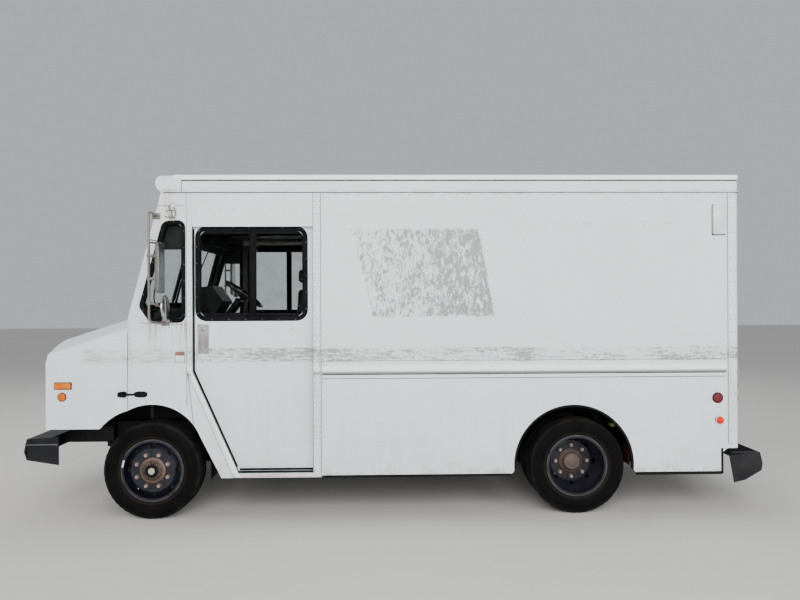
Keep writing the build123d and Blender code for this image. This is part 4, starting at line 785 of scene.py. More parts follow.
# ---- Geometry Nodes ----
def node_tree(name, inputs):
    """An empty geometry tree with named inputs, its group input's outputs and its output socket."""
    group = bpy.data.node_groups.new(name, "GeometryNodeTree")
    group.interface.new_socket("Geometry", in_out="INPUT", socket_type="NodeSocketGeometry")
    for label, kind in inputs:
        group.interface.new_socket(label, in_out="INPUT", socket_type=f"NodeSocket{kind}")
    group.interface.new_socket("Geometry", in_out="OUTPUT", socket_type="NodeSocketGeometry")
    tree = Tree(group)
    return group, tree, tree.node("NodeGroupInput").outputs, tree.node("NodeGroupOutput").inputs[0]


def make_row_tree():
    """Domed heads spaced evenly along every edge of a guide mesh."""
    group, tree, given, result = node_tree(
        "Rivet rows", (("Pitch", "Float"), ("Radius", "Float"), ("Height", "Float"), ("Facing", "Vector"),
                       ("Finish", "Material")))
    curve = tree.node("GeometryNodeMeshToCurve")
    tree.put(curve.inputs["Mesh"], given["Geometry"])
    spaced = tree.node("GeometryNodeResampleCurve", mode="LENGTH")
    tree.put(spaced.inputs["Curve"], curve.outputs[0])
    tree.put(spaced.inputs["Length"], given["Pitch"])
    head = tree.node("GeometryNodeMeshUVSphere")
    head.inputs["Segments"].default_value = 8
    head.inputs["Rings"].default_value = 4
    head.inputs["Radius"].default_value = 1.0
    size = tree.node("ShaderNodeCombineXYZ")
    for axis, label in (("X", "Radius"), ("Y", "Radius"), ("Z", "Height")):
        tree.put(size.inputs[axis], given[label])
    shaped = tree.node("GeometryNodeTransform")
    tree.put(shaped.inputs["Geometry"], head.outputs["Mesh"])
    tree.put(shaped.inputs["Scale"], size.outputs[0])
    placed = tree.node("GeometryNodeInstanceOnPoints")
    tree.put(placed.inputs["Points"], spaced.outputs[0])
    tree.put(placed.inputs["Instance"], shaped.outputs[0])
    tree.put(placed.inputs["Rotation"], given["Facing"])
    close_tree(tree, placed.outputs[0], given["Finish"], result)
    return group


def make_nut_tree():
    """Hexagon nuts with studs in a ring about the Y axis."""
    group, tree, given, result = node_tree(
        "Nut ring", (("Count", "Int"), ("Circle Radius", "Float"), ("Nut Radius", "Float"),
                     ("Nut Height", "Float"),
                     ("Stud Radius", "Float"), ("Phase", "Float"), ("Centre", "Vector"), ("Finish",
                                                                                          "Material")))
    ring = tree.node("GeometryNodeMeshCircle")
    tree.put(ring.inputs["Vertices"], given["Count"])
    tree.put(ring.inputs["Radius"], given["Circle Radius"])
    nut = tree.node("GeometryNodeMeshCylinder")
    nut.inputs["Vertices"].default_value = 6
    tree.put(nut.inputs["Radius"], given["Nut Radius"])
    tree.put(nut.inputs["Depth"], given["Nut Height"])
    collar = tree.node("GeometryNodeMeshCone")
    collar.inputs["Vertices"].default_value = 12
    tree.put(collar.inputs["Radius Bottom"], tree.math("MULTIPLY", given["Nut Radius"], 1.28))
    tree.put(collar.inputs["Radius Top"], given["Nut Radius"])
    tree.put(collar.inputs["Depth"], tree.math("MULTIPLY", given["Nut Height"], 0.35))
    stud = tree.node("GeometryNodeMeshCylinder")
    stud.inputs["Vertices"].default_value = 10
    tree.put(stud.inputs["Radius"], given["Stud Radius"])
    tree.put(stud.inputs["Depth"], tree.math("MULTIPLY", given["Nut Height"], 1.5))
    joined = tree.node("GeometryNodeJoinGeometry")
    for part, lift in ((nut.outputs["Mesh"], 0.5), (stud.outputs["Mesh"], 0.75),
                       (collar.outputs["Mesh"], 0.0)):
        move = tree.node("ShaderNodeCombineXYZ")
        tree.put(move.inputs["Z"], tree.math("MULTIPLY", given["Nut Height"], lift))
        shifted = tree.node("GeometryNodeTransform")
        tree.put(shifted.inputs["Geometry"], part)
        tree.put(shifted.inputs["Translation"], move.outputs[0])
        tree.put(joined.inputs[0], shifted.outputs[0])
    placed = tree.node("GeometryNodeInstanceOnPoints")
    tree.put(placed.inputs["Points"], ring.outputs[0])
    tree.put(placed.inputs["Instance"], joined.outputs[0])
    turn = tree.node("ShaderNodeCombineXYZ")
    tree.put(turn.inputs["Z"], given["Phase"])
    spun = tree.node("GeometryNodeTransform")
    tree.put(spun.inputs["Geometry"], placed.outputs[0])
    tree.put(spun.inputs["Rotation"], turn.outputs[0])
    laid = tree.node("GeometryNodeTransform")
    tree.put(laid.inputs["Geometry"], spun.outputs[0])
    laid.inputs["Rotation"].default_value = (-math.pi / 2, 0.0, 0.0)
    tree.put(laid.inputs["Translation"], given["Centre"])
    close_tree(tree, laid.outputs[0], given["Finish"], result)
    return group


def close_tree(tree, geometry, finish, result):
    """Every tree ends by realizing its instances and setting their material."""
    real = tree.node("GeometryNodeRealizeInstances")
    tree.put(real.inputs[0], geometry)
    painted = tree.node("GeometryNodeSetMaterial")
    tree.put(painted.inputs["Geometry"], real.outputs[0])
    tree.put(painted.inputs["Material"], finish)
    tree.put(result, painted.outputs[0])


def grown(name, group, guide, body, slot, mirror=False, flip=False, **values):
    """Run a geometry tree on guide edges, and keep the result as a plain piece."""
    data = bpy.data.meshes.new(name + "_guide")
    points, edges = guide
    data.from_pydata([tuple(p) for p in points], edges, [])
    carrier = bpy.data.objects.new(name + "_guide", data)
    bpy.context.scene.collection.objects.link(carrier)
    modifier = carrier.modifiers.new("grow", "NODES")
    modifier.node_group = group
    sockets = {item.name: item.identifier for item in group.interface.items_tree if item.in_out == "INPUT"}
    for key, value in values.items():
        modifier[sockets[key.replace("_", " ")]] = value
    graph = bpy.context.evaluated_depsgraph_get()
    mesh = bpy.data.meshes.new_from_object(carrier.evaluated_get(graph))
    carrier.modifiers.remove(modifier)
    bpy.data.objects.remove(carrier)
    work = bmesh.new()
    work.from_mesh(mesh)
    if mirror:
        copied = bmesh.ops.duplicate(work, geom=work.verts[:] + work.edges[:] + work.faces[:])["geom"]
        for v in copied:
            if isinstance(v, bmesh.types.BMVert):
                v.co.y = -v.co.y
    if flip:
        for v in work.verts:
            v.co.y = -v.co.y
    bmesh.ops.recalc_face_normals(work, faces=work.faces)
    work.to_mesh(mesh)
    work.free()
    for face in mesh.polygons:
        face.use_smooth = True
    mesh.set_sharp_from_angle(angle=math.radians(40.0))
    mesh.name = name
    piece = bpy.data.objects.new(name, mesh)
    bpy.context.scene.collection.objects.link(piece)
    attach(piece, body)
    return piece


def rows(*lines):
    """Guide mesh of separate straight edges."""
    points = [p for line in lines for p in line]
    return points, [(2 * i, 2 * i + 1) for i in range(len(lines))]


trees = {}


# ---- Operators ----
class VAN_OT_finishes(bpy.types.Operator):
    """Make every material and give the frame's own pieces theirs"""
    bl_idname = "stepvan.finishes"
    bl_label = "Finishes"

    def execute(self, context):
        settings = context.scene.step_van_finish
        groups["grime"] = make_grime_group()
        groups["rust"] = make_rust_group()
        trees["rows"] = make_row_tree()
        trees["nuts"] = make_nut_tree()
        make_body_paint("cargo_paint", (-1.0, 0.0, 1.6))
        make_body_paint("cab_paint", (1.0, 0.0, 1.7))
        make_body_paint("hood_paint", (2.25, 0.0, 1.0))
        make_body_paint("trim_paint", (0.0, 0.0, 1.5), marks=False)
        # Painted shade: rivet heads take a darker copy of the body paint, with dirt and rust, so they read as shaded
        # dots.
        make_plain("shaded_rivet_paint", tuple(c * 0.58 for c in settings.paint), 0.45, dirt=0.75, rust=0.20,
                   high_z=4.5)
        make_plain("sill_paint", (0.56, 0.50, 0.46), 0.42, dirt=0.7, rust=0.20)
        # Painted highlight: a paler copy of the body white for mouldings and strips that catch the light.
        make_plain("highlight_paint", (0.92, 0.94, 0.93), 0.32, dirt=0.15)
        make_plain("chassis_black", (0.0034, 0.0034, 0.0038), 0.62, dirt=0.10, rust=0.10,
                   Specular_IOR_Level=0.25)
        make_plain("cast_iron", (0.0075, 0.0066, 0.0062), 0.72, metal=0.2, dirt=0.10, rust=0.12,
                   Specular_IOR_Level=0.25)
        make_plain("bumper_paint", tuple(settings.bumper), 0.44, dirt=0.16, rust=0.03, bump=0.45, grain=26.0,
                   Specular_IOR_Level=0.20)
        # Painted highlight: a lighter blue-grey for the strips along the front bumper's crease, with some dirt and
        # rust.
        make_plain("bumper_crease_highlight", (0.060, 0.064, 0.072), 0.45, dirt=0.3, rust=0.10)
        make_plain("alloy", (0.42, 0.43, 0.43), 0.42, metal=0.85, dirt=0.4)
        make_floor("cargo_floor_metal", (-1.0, 0.0, 1.5))
        make_floor("cab_floor_metal", (1.2, 0.0, 1.4))
        make_plain("steel", (0.22, 0.21, 0.20), 0.40, metal=0.75, dirt=0.25, rust=0.28)
        make_plain("arm_steel", (0.150, 0.138, 0.125), 0.48, metal=0.35, dirt=0.30, rust=0.24, grain=60.0)
        make_plain("latch_metal", (0.24, 0.235, 0.24), 0.42, metal=0.35, dirt=0.35, rust=0.10)
        make_plain("screw_metal", (0.20, 0.20, 0.20), 0.40, metal=0.6, dirt=0.2)
        make_plain("nut_rust", (0.088, 0.058, 0.048), 0.55, metal=0.30, dirt=0.15, rust=0.22, grain=200.0)
        make_plain("nut_face", (0.30, 0.215, 0.195), 0.50, metal=0.25, dirt=0.25, rust=0.15, grain=160.0)
        make_plain("hub_brown", (0.066, 0.046, 0.037), 0.55, metal=0.3, dirt=0.2, rust=0.26, grain=70.0)
        make_plain("hub_cap", (0.40, 0.345, 0.30), 0.5, metal=0.3, dirt=0.2, rust=0.08)
        make_plain("rubber", (0.0026, 0.0027, 0.0036), 0.62, dirt=0.04, grain=220.0, Specular_IOR_Level=0.08)
        make_plain("lining", tuple(settings.lining), 0.6, dirt=0.2)
        make_plain("dash", (0.0050, 0.0062, 0.0062), 0.55, dirt=0.12, grain=260.0, Specular_IOR_Level=0.25)
        # Black for seals, joints and edges; also drawn as painted shadow lines under the roof moulding and the rub
        # rail.
        make_plain("seal_black", (0.0022, 0.0022, 0.0026), 0.7, dirt=0.04, Specular_IOR_Level=0.15)
        make_plain("arch_liner", (0.0014, 0.0013, 0.0014), 0.95, dirt=0.03, Specular_IOR_Level=0.05)
        make_plain("flap_red", (0.020, 0.0062, 0.0056), 0.8, dirt=0.06, Specular_IOR_Level=0.1)
        make_plain("tag_green", (0.075, 0.085, 0.020), 0.6, dirt=0.3)
        make_plain("mirror_back", (0.105, 0.115, 0.095), 0.42, metal=0.2, dirt=0.3, rust=0.24, low_z=1.0,
                   high_z=4.0)
        make_plain("mirror_face", (0.30, 0.30, 0.29), 0.16, metal=0.9, dirt=0.10, bump=0.0)
        make_plain("mirror_bowl", (0.095, 0.072, 0.060), 0.45, metal=0.3, dirt=0.3, rust=0.20)
        make_plain("reflector", (0.75, 0.76, 0.76), 0.12, metal=0.9, dirt=0.05, bump=0.05)
        make_plain("liner_wood", (0.30, 0.20, 0.11), 0.6, dirt=0.5, grain=60.0)
        make_plain("plate_pale", (0.66, 0.70, 0.71), 0.45, dirt=0.3, low_z=1.0, high_z=4.0)
        make_plain("plate_grey", (0.25, 0.25, 0.24), 0.6, dirt=0.7, rust=0.2, grain=90.0, high_z=4.0)
        make_plain("plate_red", (0.24, 0.075, 0.060), 0.6, dirt=0.8, grain=90.0, high_z=4.0)
        make_plain("radiator_core", (0.006, 0.006, 0.006), 0.6, metal=0.3, dirt=0.3)
        make_tyre_rubber("tyre_front", FRONT_X)
        make_tyre_rubber("tyre_rear", REAR_AXLE_X)
        make_wheel_paint("wheel_front", FRONT_X)
        make_wheel_paint("wheel_rear", REAR_AXLE_X)
        make_glass("window_glass", (0.86, 0.90, 0.89))
        make_glass("lamp_glass", (0.92, 0.93, 0.93), 0.12)
        make_lens("amber_lens", (0.80, 0.185, 0.005), (0.50, 0.095, 0.003))
        make_lens("red_lens", (0.80, 0.0030, 0.0040), (0.60, 0.0020, 0.0030))
        make_lens("dark_red_lens", (0.17, 0.008, 0.016), (0.075, 0.004, 0.010))
        make_cloth("seat_vinyl", (0.0065, 0.0065, 0.0075))
        self.dress_frame()
        return {"FINISHED"}

    def dress_frame(self):
        """Give each frame node its finish."""
        chosen = {
            "cargo_paint": ("cargo_side_left", "cargo_side_right", "roof", "rear_frame", "rear_door_left",
                            "rear_door_right"),
            "cab_paint": ("cab_side_left", "cab_side_right", "cab_front", "left_door", "right_door",
                          "roof_cap"),
            "hood_paint": ("hood",),
            "chassis_black": ("chassis_frame", "leaf_springs", "driveshaft", "fuel_tank", "seat_frame"),
            "cast_iron": ("front_axle", "rear_axle", "knuckle_left", "knuckle_right", "engine_block",
                          "exhaust"),
            "radiator_core": ("radiator",),
            "bumper_paint": ("front_bumper", "rear_bumper"),
            "cargo_floor_metal": ("cargo_floor",),
            "cab_floor_metal": ("cab_floor",),
            "lining": ("engine_cover", "bulkhead"),
            "dash": ("dashboard", "steering_wheel", "grille"),
            "window_glass": ("cab_glass", "left_door_glass", "right_door_glass", "rear_door_glass_left",
                             "rear_door_glass_right"),
            "dark_red_lens": ("tail_lamps",),
            "reflector": ("headlamps",),
            "wheel_front": ("front_rim_left", "front_rim_right"),
            "wheel_rear": ("rear_rims_left", "rear_rims_right"),
            "tyre_front": ("front_tyre_left", "front_tyre_right"),
            "tyre_rear": ("rear_tyres_left", "rear_tyres_right"),
            "mirror_back": ("side_mirrors",),
            "seat_vinyl": ("seat_cushion", "seat_back"),
        }
        for material, names in chosen.items():
            for name in names:
                data = nodes[name].data
                data.materials.clear()
                data.materials.append(materials[material])


class VAN_OT_stage(bpy.types.Operator):
    """Make the floor, the lights and the camera"""
    bl_idname = "stepvan.stage"
    bl_label = "Stage"

    def execute(self, context):
        scene = context.scene
        floor_half = 40.0
        data = bpy.data.meshes.new("floor")
        corners = [(-floor_half, -floor_half, 0), (floor_half, -floor_half, 0), (floor_half, floor_half, 0),
                   (-floor_half, floor_half, 0)]
        data.from_pydata(corners, [], [(0, 1, 2, 3)])
        floor = bpy.data.objects.new("floor", data)
        scene.collection.objects.link(floor)
        material, tree, shader = new_material("floor_pale", Roughness=0.85, Specular_IOR_Level=0.2)
        at, _, _, _ = tree.place()
        cloud = tree.noise(at, 0.35, 3.0, 0.5)
        tree.put(shader.inputs["Base Color"], tree.mix(cloud, (0.60, 0.585, 0.56), (0.63, 0.615, 0.59)))
        data.materials.append(material)
        world = bpy.data.worlds.new("studio")
        scene.world = world
        world.use_nodes = True
        world.node_tree.nodes["Background"].inputs["Color"].default_value = (0.80, 0.82, 0.85, 1.0)
        world.node_tree.nodes["Background"].inputs["Strength"].default_value = 0.62
        lamps = (("key", (0.8, 10.5, 4.6), (0.0, 0.0, 1.0), 1080.0, 7.0),
                 ("fill", (-6.5, 8.0, 3.5), (-0.8, 0.5, 0.9), 420.0, 6.0),
                 ("back", (0.0, -8.0, 7.0), (0.0, 0.0, 1.5), 420.0, 7.0), ("nose", (9.0, 1.0, 5.0),
                                                                           (1.5, 0.0, 1.2), 260.0, 5.0))
        for name, at_point, target, power, size in lamps:
            light = bpy.data.lights.new(name, "AREA")
            light.energy = power
            light.size = size
            lamp = bpy.data.objects.new(name, light)
            lamp.location = at_point
            aim = Vector(target) - Vector(at_point)
            lamp.rotation_euler = aim.to_track_quat("-Z", "Y").to_euler()
            scene.collection.objects.link(lamp)
        self.place_camera(scene)
        return {"FINISHED"}

    def place_camera(self, scene):
        """A level camera square to the van's left side."""
        yaw, pitch, roll = 0.0239, 0.0003, -0.0042
        data = bpy.data.cameras.new("camera")
        data.sensor_fit = "HORIZONTAL"
        data.sensor_width = 36.0
        data.lens = 30.857
        data.clip_end = 200.0
        camera = bpy.data.objects.new("camera", data)
        forward = Vector((-math.sin(yaw) * math.cos(pitch), -math.cos(yaw) * math.cos(pitch),
                          math.sin(pitch)))
        right = Vector((-math.cos(yaw), math.sin(yaw), 0.0))
        up = right.cross(forward)
        turned_right = right * math.cos(roll) + up * math.sin(roll)
        turned_up = up * math.cos(roll) - right * math.sin(roll)
        rotation = Matrix((turned_right, turned_up, -forward)).transposed()
        camera.matrix_world = Matrix.Translation((0.1302, 6.884, 1.8175)) @ rotation.to_4x4()
        scene.collection.objects.link(camera)
        scene.camera = camera


class VAN_OT_tyres(bpy.types.Operator):
    """Turn the tyres with their ribs, grooves and shoulder blocks"""
    bl_idname = "stepvan.tyres"
    bl_label = "Tyres"

    def execute(self, context):
        half_width = 0.0845
        for word, side in (("left", 1), ("right", -1)):
            self.tyre(f"front_tyre_tread_{word}", [side * FRONT_TYRE_Y], FRONT_X, "tyre_front",
                      f"front_wheel_{word}", f"front_tyre_{word}")
            box_low, box_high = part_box(f"rear_tyres_{word}")
            inset = half_width + 0.0275
            centres = [box_low[1] + inset, box_high[1] - inset]
            self.tyre(f"rear_tyre_treads_{word}", centres, REAR_AXLE_X, "tyre_rear", f"rear_wheels_{word}",
                      f"rear_tyres_{word}")
        return {"FINISHED"}

    def tyre(self, name, centres, axle_x, material, body, node):
        """One tyre piece, with its tread, on a wheel body."""
        depth = trim_settings().tread_depth
        tread = WHEEL_Z
        shape = Shape(name)
        side_profile = [(0.0850, 0.2480), (0.0850, 0.2580), (0.0885, 0.2640), (0.0930, 0.2665),
                        (0.0965, 0.2740),
                        (0.1005, 0.2830), (0.1020, 0.2850), (0.1040, 0.2920), (0.1075, 0.3050), (0.1100,
                                                                                                 0.3190),
                        (0.1108, 0.3200), (0.1118, 0.3260), (0.1124, 0.3350), (0.1124, 0.3420), (0.1112,
                                                                                                 0.3440),
                        (0.1105, 0.3560), (0.1085, 0.3680), (0.1050, 0.3800), (0.1058, 0.3815), (0.1010,
                                                                                                 0.3920),
                        (0.0955, 0.3985), (0.0885, tread - 0.0030)]
        grooves = (0.0600, 0.0200)
        crown = []
        for y in grooves:
            crown += [(y + 0.0062, tread - 0.0012), (y + 0.0042, tread - depth), (y - 0.0042, tread - depth),
                      (y - 0.0062, tread - 0.0010)]
        half = side_profile + crown
        profile = half + [(-y, r) for y, r in reversed(half)]
        steps = 144
        for centre_y in centres:
            points = []
            for y, r in profile:
                shoulder = 0.0880 < abs(y) < 0.1075 and r > 0.379
                for k in range(steps):
                    turn = 2 * math.pi * (k + (0.25 if k % 3 else 0.0)) / steps
                    cut = 0.0022 if shoulder and k % 3 == 0 else 0.0
                    reach = r - cut
                    points.append((axle_x + reach * math.cos(turn), centre_y + y,
                                   WHEEL_Z + reach * math.sin(turn)))
            faces = []
            rows_count = len(profile)
            for i in range(rows_count):
                j = (i + 1) % rows_count
                for k in range(steps):
                    m = (k + 1) % steps
                    faces.append([i * steps + k, i * steps + m, j * steps + m, j * steps + k])
            shape.add(points, faces, material)
        piece = shape.finish(body, "tyre_rubber", angle=28.0)
        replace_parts(piece, node)


class VAN_OT_wheel_details(bpy.types.Operator):
    """Add lug nuts, hub flanges, caps and valve stems"""
    bl_idname = "stepvan.wheel_details"
    bl_label = "Wheel details"

    def execute(self, context):
        disc_y = high("front_rim_left")[1] - 0.034
        rear_disc_y = self.rear_face()
        for word, side in (("left", 1), ("right", -1)):
            self.nuts(f"front_lug_nuts_{word}", f"front_wheel_{word}", side, (FRONT_X, disc_y, WHEEL_Z),
                      0.024, 22.5)
            self.nuts(f"rear_lug_nuts_{word}", f"rear_wheels_{word}", side,
                      (REAR_AXLE_X, rear_disc_y, WHEEL_Z), 0.030, 0.0)
            grown(f"rear_flange_bolts_{word}", trees["nuts"], ([], []), f"rear_wheels_{word}", "cast_metal",
                  flip=side < 0,
                  Count=8, Circle_Radius=0.056, Nut_Radius=0.0075, Nut_Height=0.006, Stud_Radius=0.004,
                  Phase=math.radians(22.5), Centre=(REAR_AXLE_X, self.rear_cap() - 0.0005, WHEEL_Z),
                  Finish=materials["nut_rust"])
            self.front_hub(word, side, disc_y)
            self.rear_hub(word, side, rear_disc_y)
        return {"FINISHED"}

    def rear_face(self):
        """Plane where the two rear rims meet, plus the outer disc's gauge."""
        box_low, box_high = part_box("rear_tyres_left")
        return (box_low[1] + box_high[1]) / 2 + 0.014

    def rear_cap(self):
        """Outer face of the rear hub's cap."""
        return (low("rear_tyres_left")[1] + high("rear_tyres_left")[1]) / 2 + 0.066

    def nuts(self, name, body, side, centre, tall, phase):
        """A ring of eight dark nuts with paler stud ends."""
        grown(name, trees["nuts"], ([], []), body, "cast_metal", flip=side < 0, Count=8, Circle_Radius=0.1375,
              Nut_Radius=0.0172, Nut_Height=tall, Stud_Radius=0.0100, Phase=math.radians(phase), Centre=centre,
              Finish=materials["nut_rust"])
        shape = Shape(name + "_faces")
        for k in range(8):
            turn = math.radians(phase) + 2 * math.pi * k / 8
            x = centre[0] + 0.1375 * math.cos(turn)
            z = centre[2] - 0.1375 * math.sin(turn)
            top = centre[1] + tall
            profile = [(top - 0.0005, 0.0152), (top + 0.0012, 0.0146), (top + 0.0016, 0.0110),
                       (top + 0.0016, 0.0098)]
            shape.turned([(side * a, r) for a, r in profile], (x, 0, z), "nut_face", steps=12, closed=True)
            end = top + tall * 0.5
            shape.turned([(side * (end - 0.0003), 0.0085), (side * (end + 0.0010), 0.0080),
                          (side * (end + 0.0012), 0.0004)],
                         (x, 0, z), "nut_face", steps=12)
        shape.finish(body, "cast_metal")

    def front_hub(self, word, side, disc_y):
        """Hub flange, dark bearing ring with a pale nut, a drum behind the hand holes and a wheel weight."""
        hub = Shape(f"front_hub_ring_{word}")
        top_y = high("front_rim_left")[1]
        hub.turned([(top_y - 0.004, 0.056), (top_y + 0.006, 0.055), (top_y + 0.008, 0.050),
                    (top_y + 0.002, 0.036),
                    (top_y + 0.001, 0.0004)], (FRONT_X, 0, WHEEL_Z), "seal_black", steps=40)
        ring = [(0.0, 0.026), (0.006, 0.028), (0.013, 0.024), (0.0145, 0.0004)]
        hub.turned([(top_y + a, r) for a, r in ring], (FRONT_X, 0, WHEEL_Z), "hub_cap", steps=28)
        flange = [(disc_y - 0.001, 0.080), (disc_y - 0.001, 0.106), (disc_y + 0.005, 0.108),
                  (disc_y + 0.009, 0.102),
                  (disc_y + 0.010, 0.088), (disc_y + 0.016, 0.082)]
        hub.turned(flange, (FRONT_X, 0, WHEEL_Z), "nut_rust", steps=40, closed=True)
        drum = [(disc_y - 0.052, 0.150), (disc_y - 0.052, 0.226), (disc_y - 0.056, 0.229),
                (disc_y - 0.060, 0.229),
                (disc_y - 0.062, 0.226), (disc_y - 0.062, 0.150)]
        hub.turned(drum, (FRONT_X, 0, WHEEL_Z), "chassis_black", steps=48, closed=True)
        turn = math.radians(14.0)
        for k in range(3):
            spot = turn + math.radians(4.6) * (k - 1)
            x, z = FRONT_X + 0.2465 * math.cos(spot), WHEEL_Z + 0.2465 * math.sin(spot)
            hub.box((x - 0.0065, FRONT_TYRE_Y + 0.084, z - 0.010),
                    (x + 0.0065, FRONT_TYRE_Y + 0.104, z + 0.010), "plate_pale", 0.004)
        self.stem(hub, FRONT_X, FRONT_TYRE_Y + 0.055, 0.215, math.radians(-52.0))
        if side < 0:
            self.flip(hub)
        hub.finish(f"front_wheel_{word}", "cast_metal")

    def rear_hub(self, word, side, disc_y):
        """Hub collar and a low domed cap with a raised ring."""
        rear = Shape(f"rear_hub_ring_{word}")
        flange = [(disc_y - 0.001, 0.080), (disc_y - 0.001, 0.104), (disc_y + 0.008, 0.104),
                  (disc_y + 0.014, 0.094), (disc_y + 0.026, 0.087), (disc_y + 0.028, 0.082)]
        rear.turned(flange, (REAR_AXLE_X, 0, WHEEL_Z), "nut_rust", steps=40, closed=True)
        cap_y = self.rear_cap()
        dome = [(cap_y - 0.010, 0.070), (cap_y - 0.002, 0.071), (cap_y + 0.001, 0.067),
                (cap_y + 0.0015, 0.040),
                (cap_y + 0.004, 0.034), (cap_y + 0.0055, 0.022), (cap_y + 0.006, 0.0004)]
        rear.turned(dome, (REAR_AXLE_X, 0, WHEEL_Z), "hub_brown", steps=40)
        self.stem(rear, REAR_AXLE_X, 1.02, 0.222, math.radians(-22.0))
        if side < 0:
            self.flip(rear)
        rear.finish(f"rear_wheels_{word}", "cast_metal")

    def stem(self, shape, axle_x, y, radius, turn):
        """A valve stem with a pale cap."""
        c, s = math.cos(turn), math.sin(turn)
        foot = Vector((axle_x + radius * c, y, WHEEL_Z + radius * s))
        tip = Vector((axle_x + (radius - 0.022) * c, y + 0.030, WHEEL_Z + (radius - 0.022) * s))
        shape.tube([foot, (foot + tip) / 2, tip], 0.0045, "rubber", sides=8)
        shape.tube([tip, tip + (tip - foot).normalized() * 0.010], 0.0055, "screw_metal", sides=8)

    def flip(self, shape):
        """Move the shape to the other side of the van."""
        for v in shape.mesh.verts:
            v.co.y = -v.co.y


